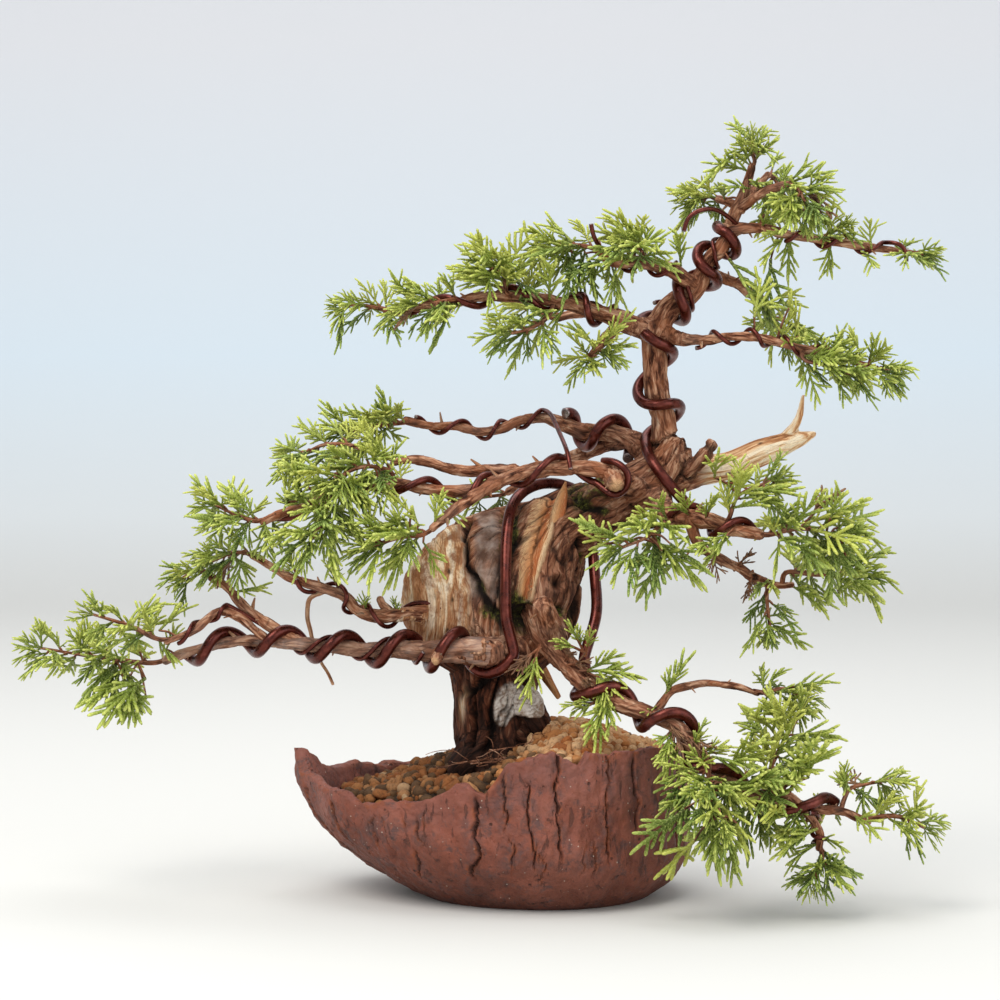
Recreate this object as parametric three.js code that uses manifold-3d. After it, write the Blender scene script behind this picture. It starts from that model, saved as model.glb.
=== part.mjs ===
// A wired juniper bonsai in a hand-formed bowl, in millimetres, +Z up.
// The origin is the middle of the bowl's flat foot, and -Y is the tree's front.
import * as THREE from "three";
import { mergeVertices } from "three/addons/utils/BufferGeometryUtils.js";
import Module from "manifold-3d";

const wasm = await Module();
wasm.setup();

// ---------------------------------------------------------------- driving dimensions
const GAP = 0.35; // running gap between neighbouring pieces
const GROOVE = 0.15; // how much wider a groove in the bark is than the wire that lies in it

const BOWL = {
  reachLeft: 76, // half axes of the rim, seen from above
  reachRight: 58,
  reachFront: 58,
  reachBack: 50,
  wall: 4.5,
  floor: 7,
  crackDepth: 1.6,
  crackHalfAngle: 1.7, // degrees
  crackLevels: [0, 0.1, 0.3, 0.62, 1], // shares of the rim's height where the outer wall is set out
  hornAngle: 178, // degrees, where the rim is drawn out to a point
  hornReach: 0.08, // share of the rim's radius that the point adds
  hornWidth: 9, // degrees
  fullHeight: 18, // where the upright right side reaches its full width
  fullHeightDrawn: 27, // added to that on the drawn-out left side
  footInset: 0.22, // share of the rim's width that the foot lacks, on the right side
  footInsetDrawn: 0.3, // added to that on the left side
  flank: 2, // power of the flank's curve on the right side
  flankDrawn: 0.24, // added to that on the left side
  lipBevel: 0.7, // how far the rim's inner edge lies below its outer edge
};
const DRAIN = { radius: 5, offset: 20, meshSide: 18, meshThickness: 1, meshHole: 5, meshPitch: 7.5 };
const GOLDEN_TURN = 137.508; // degrees, spreads repeats evenly
const SOIL = {
  lowest: 36, // ground level along the bowl's left wall
  climb: 16, // from there up to the heap at the right of the trunk
  climbFrom: -65,
  climbTo: 20,
  fall: 0.06, // slope down again beyond the heap
  crown: 6, // how far the middle stands above the wall
  dip: { x: -16, y: -22, depth: 7, spread: 180 },
  belowRim: 3,
  outlineLevel: 34, // height at which the soil's outline is taken
};
const GRANULE = { count: 40, smallest: 2.6, largest: 4.4, inset: 3, belowRim: 4 };
const WIRE = { thick: 2, medium: 1.25, thin: 0.8 }; // radii
const STEM = { radius: 1.25, taper: 0.35, sleeve: 2.5, step: 5.5 };
const TWIG = { radii: [1, 0.8, 0.65], clearRadius: 0.9, lean: 0.55, tries: [1, 0.75, 0.5] };
const NEEDLE = {
  radius: 0.6,
  shortest: 8.5,
  longest: 13.5,
  perTwigOfFive: 3, // facets of a twig, out of five, that grow a needle
  lowest: 8, // height above the foot of the bowl
  tries: [1, 0.8, 0.6], // shares of its length that are tried in turn
};

// Angles (degrees from +X, anticlockwise seen from above) and heights of the torn rim.
const RIM = [
  [0, 52], [25, 49], [60, 46], [90, 43], [120, 41], [138, 41], [147, 42], [160, 42], [169, 44],
  [178, 51], [184, 43], [198, 40], [210, 40], [214, 38], [219, 35], [228, 37], [237, 39], [245, 40],
  [250, 44], [252, 46], [255, 44], [259, 42], [262, 47], [265, 53], [271, 55], [279, 56], [284, 54],
  [288, 51], [292, 56], [301, 55], [308, 56], [323, 55], [338, 51], [360, 52],
];
// Angles of the upright cracks that part the bowl's ridges.
const CRACKS = [
  6, 22, 37, 54, 70, 84, 101, 117, 133, 150, 165, 188, 206, 222, 230, 236, 241, 248, 257, 267,
  274, 283, 294, 309, 324, 343,
];

// Centre lines of the wood, one row a branch: x, y, z and radius.
const WOOD = {
  trunkFoot: { sides: 11, route: [[-8, 0, 24, 13.5], [-8, 0, 40, 16], [-10, 0, 54, 15], [-11, 0, 68, 15],
    [-11, 0, 80, 16.5], [-12, 0, 95, 20], [-12, 0, 104, 18]] },
  trunkLeft: { sides: 11, route: [[-15, 0, 84, 12], [-25, -2, 95, 16], [-27, 0, 107, 16.5],
    [-20, 0, 115, 16], [-12, 2, 121, 14.5], [-2, 4, 125, 13], [10, 5, 130, 11.5], [21, 5, 136, 9.5]] },
  trunkFront: { sides: 11, route: [[-3, -4, 86, 12], [6, -6, 101, 13.5], [7, -4, 115, 13.5],
    [11, -2, 126, 13], [24, 0, 135, 10.5], [37, 2, 142, 9.5], [47, 4, 149, 8.5], [52, 4, 157, 7]] },
  trunkMiddle: { sides: 8, route: [[-9, -4, 88, 16], [-9, -6, 108, 16], [-5, -3, 118, 14.5],
    [7, 0, 129, 12]] },
  trunkUpper: { sides: 8, route: [[53, 4, 155, 6.5], [50, 4, 160, 5], [49, 4, 169, 4.5],
    [47, 4, 175, 4.5], [46, 3, 188, 4.5], [46, 3, 197, 4.5], [50, 4, 206, 4.5], [55, 4, 210, 4.5],
    [59, 3, 213, 4], [63, 2, 219, 3.5], [65, 1, 224, 3], [69, 0, 228, 3], [72, 0, 233, 2.5],
    [73, 0, 238, 2.5], [77, 0, 247, 2], [80, 0, 257, 1.6]] },
  rootLeft: { sides: 6, route: [[-12, -6, 55, 9.5], [-21, -10, 48, 6], [-30, -14, 39, 3]] },
  rootRight: { sides: 6, route: [[-2, -4, 56, 9.5], [7, -4, 51, 7], [17, -4, 44, 4]] },
  rootBack: { sides: 6, route: [[-7, 6, 55, 9.5], [-5, 24, 45, 6], [-2, 34, 36, 3]] },
  burl: { sides: 6, route: [[-3, -8, 73, 5.5], [2, -10, 65, 6], [8, -8, 55, 4]] },
  tornRidge: { sides: 4, route: [[4, -16, 101, 2.2], [7, -16, 114, 4], [11, -13, 133, 3],
    [14, -12, 146, 1.1]] },
  tornStrip: { sides: 4, route: [[3, 8, 84, 2.2], [8, 14, 74, 1.6], [12, 17, 67, 1]] },
  lowLeft: { sides: 7, route: [[-6, -18, 87, 6], [-19, -27, 88, 5], [-32, -26, 88, 4],
    [-44, -22, 88, 3], [-58, -20, 88, 2.5], [-72, -18, 89, 2.5], [-86, -15, 90, 2.1],
    [-100, -12, 90, 1.9], [-115, -10, 87, 1.8], [-127, -8, 83, 1.6]] },
  lowLeftStub: { sides: 5, route: [[-30, -28, 88, 2.5], [-31, -38, 86, 1.9]] },
  lowLeftUpper: { sides: 4, route: [[-79, -16, 90, 2.1], [-90, -14, 96, 1.9], [-100, -10, 103, 1.8],
    [-105, -6, 108, 1.4], [-111, -4, 112, 1.3]] },
  lowLeftLower: { sides: 4, route: [[-90, -15, 90, 1.8], [-95, -14, 94, 1.6], [-101, -15, 99, 1.6],
    [-108, -17, 101, 1.4], [-115, -21, 95, 1.3], [-125, -23, 91, 1.1]] },
  secondLeft: { sides: 5, route: [[-27, -10, 99, 4], [-41, -16, 100, 2.5], [-49, -17, 99, 2.5],
    [-56, -17, 100, 2.5], [-60, -17, 102, 2.1], [-63, -17, 106, 2], [-71, -17, 109, 1.9],
    [-78, -16, 111, 1.7], [-83, -15, 113, 1.6], [-90, -13, 117, 1.4], [-96, -12, 120, 1.3]] },
  secondLeftSpur: { sides: 4, route: [[-47, -17, 100, 1.4], [-50, -17, 103, 1.3], [-51, -17, 105, 1.3]] },
  deadTwig: { sides: 4, route: [[-71, -16, 108, 1], [-76, -12, 105, 0.9], [-77, -9, 99, 0.8],
    [-76, -8, 94, 0.8], [-73, -9, 84, 0.7], [-70, -10, 79, 0.6], [-68, -11, 75, 0.6]] },
  midLeft: { sides: 6, route: [[39, -4, 142, 4.5], [30, -14, 149, 3], [17, -18, 151, 2.5],
    [5, -20, 151, 2.5], [-6, -20, 148, 2.5], [-16, -20, 144, 2.5], [-25, -20, 143, 2.2],
    [-35, -20, 144, 2], [-46, -20, 146, 1.8], [-59, -22, 144, 1.8], [-77, -24, 139, 1.6],
    [-91, -24, 133, 1.4]] },
  midLeftStub: { sides: 6, route: [[30, -12, 149, 3.5], [31, -25, 146, 3]] },
  midLeftUpper: { sides: 4, route: [[-4, -18, 151, 2.1], [-14, -12, 150, 2.1], [-22, -10, 150, 2.1],
    [-28, -10, 151, 1.9], [-34, -10, 153, 1.8], [-40, -12, 154, 1.6], [-46, -14, 153, 1.4]] },
  midLeftLower: { sides: 4, route: [[-10, -21, 146, 2], [-19, -26, 141, 2.2], [-26, -30, 136, 2],
    [-32, -32, 131, 1.4]] },
  highLeft: { sides: 6, route: [[45, 8, 155, 5], [38, 10, 160, 3.5], [29, 12, 163, 3], [20, 14, 163, 3],
    [13, 15, 166, 2.5], [7, 16, 168, 2], [-2, 16, 167, 1.8], [-9, 15, 164, 1.8], [-16, 15, 163, 1.6],
    [-25, 14, 165, 1.5], [-34, 14, 165, 1.4], [-43, 14, 167, 1.3]] },
  highLeftBack: { sides: 5, route: [[34, 12, 160, 3], [24, 22, 156, 2.5], [13, 30, 151, 2.5], [2, 38, 145, 2],
    [-6, 44, 140, 1.4]] },
  midRight: { sides: 5, route: [[45, -1, 143, 4.5], [51, -16, 134, 3], [60, -26, 134, 3], [70, -32, 131, 2.5],
    [80, -36, 129, 2]] },
  midRightLower: { sides: 4, route: [[57, -25, 133, 2.2], [59, -25, 127, 2.1], [62, -24, 123, 1.9],
    [69, -20, 119, 1.7], [75, -18, 116, 1.7], [79, -16, 113, 1.6], [87, -14, 110, 1.4],
    [93, -14, 110, 1.3]] },
  lowRight: { sides: 7, route: [[3, -8, 102, 6], [8, -20, 91, 5], [12, -24, 86, 4], [17, -30, 81, 3.5],
    [21, -34, 77, 3.5], [27, -38, 73, 3], [33, -42, 71, 3], [40, -46, 69, 3], [46, -50, 67, 2.5],
    [52, -53, 64, 2.5], [56, -55, 58, 2.5], [60, -56, 53, 2.5], [67, -56, 47, 2], [76, -56, 43, 2],
    [87, -55, 40, 2], [97, -54, 37, 1.9], [106, -52, 36, 1.7], [116, -50, 32, 1.4]] },
  lowRightStub: { sides: 6, route: [[10, -19, 92, 4.5], [8, -26, 98, 4.5], [6, -33, 104, 3.5]] },
  lowRightTwig: { sides: 4, route: [[44, -46, 69, 1.8], [50, -44, 76, 1.4], [60, -40, 78, 1.3],
    [70, -36, 77, 1.2], [80, -32, 74, 1]] },
  lowRightTail: { sides: 4, route: [[81, -56, 46, 1.8], [92, -58, 39, 1.5], [99, -57, 29, 1.3],
    [99, -56, 24, 1.2]] },
  topLeft: { sides: 6, route: [[46, 4, 199, 4], [39, -2, 201, 3], [32, -6, 204, 3], [24, -8, 206, 3],
    [18, -8, 208, 2.5], [7, -8, 210, 2.1], [-5, -8, 211, 1.9], [-16, -8, 211, 1.8],
    [-28, -8, 208, 1.6], [-42, -8, 207, 1.4], [-49, -8, 206, 1.3]] },
  topLeftBack: { sides: 4, route: [[46, 5, 198, 3], [34, 16, 202, 2.5], [24, 24, 206, 2.2],
    [12, 28, 204, 1.6]] },
  topLeftLower: { sides: 4, route: [[36, -4, 204, 2.2], [28, -10, 196, 1.8], [23, -12, 190, 1.4]] },
  topLeftUpper: { sides: 5, route: [[59, 1, 216, 3], [49, -6, 221, 2.5], [40, -10, 223, 2.2],
    [31, -12, 223, 1.8], [25, -12, 227, 1.4]] },
  topRight: { sides: 5, route: [[48, 2, 198, 3], [58, -4, 196, 1.9], [65, -8, 196, 1.8],
    [72, -10, 197, 1.6], [79, -12, 197, 1.6], [85, -12, 196, 1.6], [92, -14, 194, 1.5],
    [100, -14, 192, 1.5], [109, -14, 190, 1.4], [118, -14, 187, 1.3]] },
  topRightBack: { sides: 4, route: [[64, 2, 221, 2.5], [70, 8, 218, 2], [76, 14, 216, 1.8],
    [80, 17, 213, 1.6], [85, 19, 211, 1.4]] },
  crownRight: { sides: 5, route: [[71, 0, 235, 2.5], [83, -4, 235, 1.9], [93, -6, 233, 1.7],
    [105, -6, 231, 1.6], [118, -6, 229, 1.5], [131, -4, 227, 1.3]] },
  crownTwigRight: { sides: 4, route: [[75, 0, 242, 2], [84, -8, 248, 1.6], [91, -12, 250, 1.3]] },
  crownTwigLeft: { sides: 4, route: [[76, 0, 242, 1.8], [72, 6, 245, 1.5], [69, 9, 246, 1.3]] },
  crownTwigBack: { sides: 4, route: [[77, 0, 246, 1.6], [82, 12, 250, 1.4], [87, 18, 255, 1.3]] },
  jin: { sides: 6, route: [[52, 6, 146, 6], [62, 8, 149, 5.5], [73, 8, 151, 5], [84, 8, 155.5, 5],
    [92, 8, 158.5, 4.2], [99, 8, 161, 2.6], [103, 8, 162.5, 1.2]] },
  jinFork: { sides: 4, route: [[92, 8, 160, 2.2], [97, 7, 167, 1.6], [99, 6, 176, 0.7]] },
  jinStub: { sides: 5, route: [[58, 2, 149, 3], [64, -5, 156, 2.5], [65, -5, 158, 2.5]] },
};
// What the soil closes round: these rows stand in a hole of their own form.
const BURIED = ["trunkFoot", "rootLeft", "rootRight", "rootBack", "burl"];

// Training wires. A coil winds round one branch from x (or z) to x (or z), in whole and part
// turns, starting at an angle in half turns: 0 is the top of a level branch, and minus turns
// the other way. lead and tail are the free ends, point by point.
const WIRES = [
  { name: "wireLowLeft", radius: WIRE.thick, sides: 5, steps: 7,
    lead: [[22, 19, 140], [14, 13, 144], [5, 4, 145], [-3, -7, 141], [-6, -15, 134], [-7, -21, 122],
      [-7, -26, 108], [-7, -27, 98]],
    coils: [{ on: "lowLeft", axis: 0, from: -9, to: -121, turns: -5.5, start: -0.5 }] },
  { name: "wireLowLeftThin", radius: WIRE.thin, sides: 3, steps: 6,
    coils: [{ on: "lowLeft", axis: 0, from: -34, to: -84, turns: -2.5, start: -0.5 },
      { on: "lowLeftLower", axis: 0, from: -105, to: -122, turns: -1.5, start: 0 }] },
  { name: "wireSecondLeft", radius: WIRE.thin, sides: 3, steps: 6,
    coils: [{ on: "secondLeft", axis: 0, from: -30, to: -80, turns: 3, start: -0.4 }] },
  { name: "wireMidLeft", radius: WIRE.medium, sides: 4, steps: 7,
    lead: [[27, -14, 153.5], [31, -18, 153.5], [35.5, -20, 150], [35.5, -20, 145], [31, -20, 141]],
    coils: [{ on: "midLeft", axis: 0, from: 25, to: -87, turns: -4.2, start: -1 }] },
  { name: "wireHighLeft", radius: WIRE.thick, sides: 5, steps: 7,
    coils: [{ on: "highLeft", axis: 0, from: 40, to: 13, turns: -1.6, start: -1 }] },
  { name: "wireHighLeftThin", radius: WIRE.thin, sides: 3, steps: 6,
    lead: [[15.5, -23.5, 151], [14.5, -21, 157], [11.5, -6, 164], [9, 8, 170]],
    coils: [{ on: "highLeft", axis: 0, from: 6, to: -40, turns: -3, start: -0.1 }] },
  { name: "wireLowRight", radius: WIRE.thick, sides: 5, steps: 7,
    lead: [[24, -3, 121], [24.5, -8, 112], [25, -14, 105], [24.5, -20, 98]],
    coils: [{ on: "lowRight", axis: 0, from: 15, to: 106, turns: -4, start: -0.35 }] },
  { name: "wireLowRightTail", radius: WIRE.thin, sides: 3, steps: 6,
    coils: [{ on: "lowRightTail", axis: 2, from: 36, to: 25, turns: -1.7, start: 0.4 }] },
  { name: "wireMidRight", radius: WIRE.medium, sides: 4, steps: 7,
    coils: [{ on: "midRight", axis: 0, from: 53, to: 78, turns: -1.5, start: 0.5 }] },
  { name: "wireTrunk", radius: WIRE.thick, sides: 5, steps: 7,
    lead: [[61, -11, 133], [55, -10.5, 140], [49, -8.5, 147], [44, -5, 154]],
    coils: [{ on: "trunkUpper", axis: 2, from: 161, to: 200, turns: -2, start: -1 },
      { on: "trunkUpper", axis: 2, from: 201, to: 236, turns: -3, start: -1.1 }] },
  { name: "wireCrown", radius: WIRE.thin, sides: 3, steps: 6,
    coils: [{ on: "trunkUpper", axis: 2, from: 206, to: 236, turns: -2.5, start: -1.1 }],
    tail: [[68, -6.5, 241.5], [63, -9, 241.7], [59, -10, 240.3], [56.5, -10, 238], [55.4, -10, 233.6]] },
  { name: "wireTopLeft", radius: WIRE.medium, sides: 4, steps: 7,
    coils: [{ on: "topLeft", axis: 0, from: 32, to: -44, turns: 3.5, start: 0.15 }] },
  { name: "wireTopLeftUpper", radius: WIRE.thin, sides: 3, steps: 6,
    coils: [{ on: "topLeftUpper", axis: 0, from: 52, to: 31, turns: -2, start: 0 }],
    tail: [[27.5, -16, 226], [25, -19, 229], [23.3, -20, 232.2], [22.6, -20, 236]] },
  { name: "wireTopRight", radius: WIRE.thin, sides: 3, steps: 6,
    coils: [{ on: "topRight", axis: 0, from: 60, to: 112, turns: 4, start: 1 }] },
  { name: "wireCrownRight", radius: WIRE.thin, sides: 3, steps: 6,
    coils: [{ on: "crownRight", axis: 0, from: 92, to: 126, turns: -2.5, start: 1 }],
    tail: [[129, -8, 230], [132.1, -8.5, 228.8], [133.5, -8.5, 226], [133.5, -8.5, 223]] },
];

// Foliage sprays: the branch that each grows from, its slim core's points, how far its side
// twigs reach sideways and upwards, and how many they are. more holds twigs of their own aim.
const SPRAYS = {
  LowLeftTip: { on: "lowLeft", core: [[-131, -8, 82], [-151, -8, 84], [-171, -7, 87]], reach: [17, 11],
    twigs: 9, more: [[-136, -20, 70], [-152, -16, 74]] },
  LowLeftFront: { on: "lowLeftLower", core: [[-128, -25, 92], [-137, -30, 97], [-149, -32, 101]],
    reach: [12, 9], twigs: 5 },
  LowLeftShoot: { on: "lowLeftUpper", core: [[-113, -4, 114], [-117, -4, 114], [-121, -4, 112]],
    reach: [9, 7], twigs: 4 },
  SecondLeftTip: { on: "secondLeft", core: [[-98, -11, 121], [-103, -10, 121], [-110, -8, 118]],
    reach: [13, 9], twigs: 5, more: [[-84, -22, 118]] },
  MidLeftTip: { on: "midLeft", core: [[-94, -24, 133], [-101, -21, 135], [-108, -18, 138]], reach: [17, 11],
    twigs: 6 },
  MidLeftFront: { on: "midLeft", core: [[-68, -29, 141], [-69, -38, 135], [-73, -44, 128]], reach: [18, 13],
    twigs: 8 },
  MidLeftBack: { on: "midLeftUpper", core: [[-62, -13, 159], [-71, -8, 159], [-81, -2, 154]], reach: [18, 12],
    twigs: 8 },
  MidLeftUnder: { on: "midLeftLower", core: [[-35, -33, 129], [-43, -36, 128], [-53, -38, 125]],
    reach: [16, 12], twigs: 8 },
  MidLeftTop: { on: "midLeft", core: [[-47, -22, 150], [-56, -27, 152], [-66, -33, 148]], reach: [17, 12],
    twigs: 8 },
  HighLeftTip: { on: "highLeft", core: [[-46, 14, 166], [-54, 14, 165], [-63, 12, 163]],
    reach: [15, 9], twigs: 8 },
  HighLeftBack: { on: "highLeftBack", core: [[-8, 46, 139], [-13, 50, 138], [-18, 54, 137]], reach: [12, 8],
    twigs: 4 },
  MidRightFront: { on: "midRight", core: [[47, -27, 132], [41, -38, 128], [33, -42, 125]], reach: [17, 14],
    twigs: 8 },
  MidRightTop: { on: "midRight", core: [[70, -34, 135], [73, -33, 142], [84, -30, 147]], reach: [15, 11],
    twigs: 6 },
  MidRightTip: { on: "midRight", core: [[83, -37, 129], [94, -38, 131], [107, -36, 129]], reach: [18, 15],
    twigs: 10 },
  MidRightBack: { on: "midRightLower", core: [[91, -13, 114], [104, -8, 113], [117, -4, 114]],
    reach: [17, 13], twigs: 8 },
  MidRightHang: { on: "midRightLower", core: [[84, -18, 112], [84, -22, 105], [85, -22, 96]], reach: [9, 9],
    twigs: 4 },
  LowRightFront: { on: "lowRight", core: [[60, -61, 52], [62, -70, 46], [64, -78, 38]],
    reach: [17, 15], twigs: 9 },
  LowRightInner: { on: "lowRight", core: [[74, -51, 47], [77, -46, 41], [80, -42, 32]],
    reach: [13, 12], twigs: 6 },
  LowRightTop: { on: "lowRight", core: [[83, -50, 50], [88, -42, 58], [94, -35, 66]],
    reach: [16, 13], twigs: 8 },
  LowRightTail: { on: "lowRightTail", core: [[100, -56, 21], [100, -58, 18], [97, -59, 15]], reach: [12, 7],
    twigs: 5 },
  LowRightTip: { on: "lowRight", core: [[123, -50, 34], [129, -50, 33], [135, -50, 30]],
    reach: [11, 9], twigs: 5 },
  LowRightUpper: { on: "lowRight", core: [[110, -49, 43], [116, -45, 44], [124, -41, 45]], reach: [12, 9],
    twigs: 4 },
  LowRightShoot: { on: "lowRightTwig", core: [[82, -31, 74], [90, -28, 75], [97, -24, 71]], reach: [13, 10],
    twigs: 5 },
  TopLeftTip: { on: "topLeft", core: [[-57, -8, 208], [-60, -8, 208], [-64, -8, 208]],
    reach: [9, 6], twigs: 4 },
  TopLeftOuter: { on: "topLeft", core: [[-25, -12, 210], [-30, -16, 209], [-37, -19, 208]], reach: [15, 10],
    twigs: 6 },
  TopLeftMiddle: { on: "topLeft", core: [[-7, -10, 213], [-8, -12, 218], [-12, -13, 221]], reach: [16, 10],
    twigs: 8 },
  TopLeftUnder: { on: "topLeft", core: [[8, -12, 204], [2, -17, 200], [-5, -22, 198]],
    reach: [15, 10], twigs: 6 },
  TopLeftBack: { on: "topLeftBack", core: [[10, 29, 204], [4, 34, 207], [-2, 38, 209]],
    reach: [13, 9], twigs: 5 },
  TopLeftUpperTip: { on: "topLeftUpper", core: [[23, -12, 228], [17, -11, 229], [9, -9, 228]], reach: [15, 10],
    twigs: 6 },
  TopLeftInner: { on: "topLeftUpper", core: [[41, -12, 224], [40, -18, 227], [36, -22, 229]], reach: [16, 11],
    twigs: 8 },
  TopLeftLower: { on: "topLeftLower", core: [[22, -13, 190], [24, -17, 192], [27, -20, 194]], reach: [11, 9],
    twigs: 5 },
  TopRightTip: { on: "topRight", core: [[120, -14, 187], [123, -14, 186], [127, -14, 185]], reach: [10, 6],
    twigs: 4 },
  TopRightTop: { on: "topRight", core: [[97, -17, 189], [104, -20, 187], [112, -24, 184]], reach: [16, 11],
    twigs: 8 },
  TopRightBack: { on: "topRightBack", core: [[86, 20, 209], [90, 22, 204], [94, 26, 198]], reach: [14, 9],
    twigs: 6 },
  CrownRightTip: { on: "crownRight", core: [[132, -4, 227], [135, -4, 227], [140, -4, 226]], reach: [7, 5],
    twigs: 3 },
  CrownRightUnder: { on: "crownRight", core: [[106, -8, 232], [107, -9, 234], [109, -10, 235]], reach: [10, 7],
    twigs: 4 },
  CrownTop: { on: "trunkUpper", core: [[81, 0, 259], [80, 0, 262], [80, 0, 266]], reach: [9, 8], twigs: 5 },
  CrownLeft: { on: "crownTwigLeft", core: [[68, 10, 246], [66, 12, 247], [62, 13, 246]],
    reach: [13, 9], twigs: 6 },
  CrownRight: { on: "crownTwigRight", core: [[92, -12, 250], [95, -16, 248], [97, -18, 243]], reach: [14, 11],
    twigs: 8 },
  CrownBack: { on: "crownTwigBack", core: [[88, 19, 255], [91, 26, 253], [94, 31, 248]],
    reach: [12, 10], twigs: 6 },
};

const MATERIALS = {
  clay: new THREE.MeshStandardMaterial({ color: 0x6b443c, roughness: 0.75, metalness: 0 }),
  soil: new THREE.MeshStandardMaterial({ color: 0xa5713c, roughness: 0.95, metalness: 0 }),
  bark: new THREE.MeshStandardMaterial({ color: 0x7d5a48, roughness: 0.9, metalness: 0 }),
  wire: new THREE.MeshStandardMaterial({ color: 0x6a3d38, roughness: 0.35, metalness: 0.8 }),
  leaf: new THREE.MeshStandardMaterial({ color: 0x6f9a3a, roughness: 0.6, metalness: 0 }),
  mesh: new THREE.MeshStandardMaterial({ color: 0x2b2b2b, roughness: 0.7, metalness: 0 }),
};

// ---------------------------------------------------------------- small tools
const vector = ([x, y, z]) => new THREE.Vector3(x, y, z);
const radians = (degrees) => (degrees * Math.PI) / 180;

function randomFrom(seed) {
  let state = seed >>> 0;
  return () => {
    state = (state + 0x6d2b79f5) >>> 0;
    let mixed = Math.imul(state ^ (state >>> 15), 1 | state);
    mixed = (mixed + Math.imul(mixed ^ (mixed >>> 7), 61 | mixed)) ^ mixed;
    return ((mixed ^ (mixed >>> 14)) >>> 0) / 4294967296;
  };
}

function closedGeometry(positions, indices) {
  const geometry = new THREE.BufferGeometry();
  geometry.setAttribute("position", new THREE.Float32BufferAttribute(positions, 3));
  geometry.setIndex(indices);
  return geometry;
}

function solidOf(geometry) {
  const bare = geometry.clone();
  bare.deleteAttribute("normal");
  bare.deleteAttribute("uv");
  const merged = mergeVertices(bare, 1e-4);
  return new wasm.Manifold(new wasm.Mesh({
    numProp: 3,
    vertProperties: new Float32Array(merged.getAttribute("position").array),
    triVerts: new Uint32Array(merged.getIndex().array),
  }));
}

function joined(solids) {
  let row = solids;
  while (row.length > 1) {
    const next = [];
    for (let i = 0; i < row.length; i += 2) {
      next.push(i + 1 < row.length ? row[i].add(row[i + 1]) : row[i]);
    }
    row = next;
  }
  return row[0];
}

// The largest body alone: a sealed hollow is filled and a loose scrap is dropped.
function largestBody(solid) {
  return solid.decompose().reduce((best, body) => (body.volume() > best.volume() ? body : best));
}

function meshOf(name, solid, material) {
  const { vertProperties, triVerts } = solid.getMesh();
  const geometry = closedGeometry(Array.from(vertProperties), Array.from(triVerts));
  geometry.computeVertexNormals();
  const mesh = new THREE.Mesh(geometry, material);
  mesh.name = name;
  return mesh;
}

// A closed tapered tube along points that each carry their own radius.
function tube(route, sides, grow = 0) {
  const points = route.map(vector);
  const last = points.length - 1;
  const positions = [];
  const indices = [];
  let side = null;
  points.forEach((point, i) => {
    const back = points[i].clone().sub(points[Math.max(i - 1, 0)]).normalize();
    const ahead = points[Math.min(i + 1, last)].clone().sub(points[i]).normalize();
    const along = back.add(ahead).normalize();
    if (!side) side = Math.abs(along.z) < 0.9 ? new THREE.Vector3(0, 0, 1) : new THREE.Vector3(1, 0, 0);
    side.addScaledVector(along, -side.dot(along)).normalize();
    const up = along.clone().cross(side);
    for (let k = 0; k < sides; k += 1) {
      const angle = (2 * Math.PI * k) / sides;
      const corner = point.clone();
      corner.addScaledVector(side, (route[i][3] + grow) * Math.cos(angle));
      corner.addScaledVector(up, (route[i][3] + grow) * Math.sin(angle));
      positions.push(corner.x, corner.y, corner.z);
    }
  });
  for (let i = 0; i < last; i += 1) {
    for (let k = 0; k < sides; k += 1) {
      const a = i * sides + k;
      const b = i * sides + ((k + 1) % sides);
      indices.push(a, b, b + sides, a, b + sides, a + sides);
    }
  }
  for (let k = 1; k < sides - 1; k += 1) {
    indices.push(0, k + 1, k);
    indices.push(last * sides, last * sides + k, last * sides + k + 1);
  }
  return closedGeometry(positions, indices);
}

// ---------------------------------------------------------------- along a branch
// The centre, direction and radius at a share of the way along a branch.
function alongBranch(name, share) {
  const { route } = WOOD[name];
  const at = Math.min(Math.max(share, 0), 1) * (route.length - 1);
  const i = Math.min(Math.floor(at), route.length - 2);
  const f = at - i;
  const spline = new THREE.CatmullRomCurve3(route.map(vector), false, "centripetal");
  return {
    centre: vector(route[i]).lerp(vector(route[i + 1]), f),
    along: spline.getTangent(at / (route.length - 1)),
    radius: route[i][3] + f * (route[i + 1][3] - route[i][3]),
  };
}

// The share of the way where a branch first passes a coordinate along one axis, or its nearer end.
function shareAt(name, axis, value) {
  const { route } = WOOD[name];
  for (let i = 0; i < route.length - 1; i += 1) {
    const [a, b] = [route[i][axis], route[i + 1][axis]];
    if ((a - value) * (b - value) > 0 || a === b) continue;
    return (i + (value - a) / (b - a)) / (route.length - 1);
  }
  const [start, end] = [route[0][axis], route[route.length - 1][axis]];
  return Math.abs(value - start) < Math.abs(value - end) ? 0 : 1;
}

function nearestShare(name, point) {
  let best = 0;
  let least = Infinity;
  for (let share = 0; share <= 1; share += 0.005) {
    const distance = alongBranch(name, share).centre.distanceTo(point);
    if (distance < least) [least, best] = [distance, share];
  }
  return best;
}

function coilPoints({ on, axis, from, to, turns, start }, radius, steps) {
  const [first, last] = [shareAt(on, axis, from), shareAt(on, axis, to)];
  const count = Math.max(2, Math.round(Math.abs(turns) * steps));
  const points = [];
  for (let i = 0; i <= count; i += 1) {
    const { centre, along, radius: wood } = alongBranch(on, first + ((last - first) * i) / count);
    const reference = axis === 2 ? new THREE.Vector3(1, 0, 0) : new THREE.Vector3(0, 0, 1);
    const up = reference.addScaledVector(along, -reference.dot(along)).normalize();
    const side = along.clone().cross(up);
    const angle = Math.PI * (start + (2 * turns * i) / count);
    const reach = (wood + GAP + radius) / Math.cos(Math.PI / steps);
    centre.addScaledVector(up, reach * Math.cos(angle)).addScaledVector(side, reach * Math.sin(angle));
    points.push(centre);
  }
  return points;
}

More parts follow.
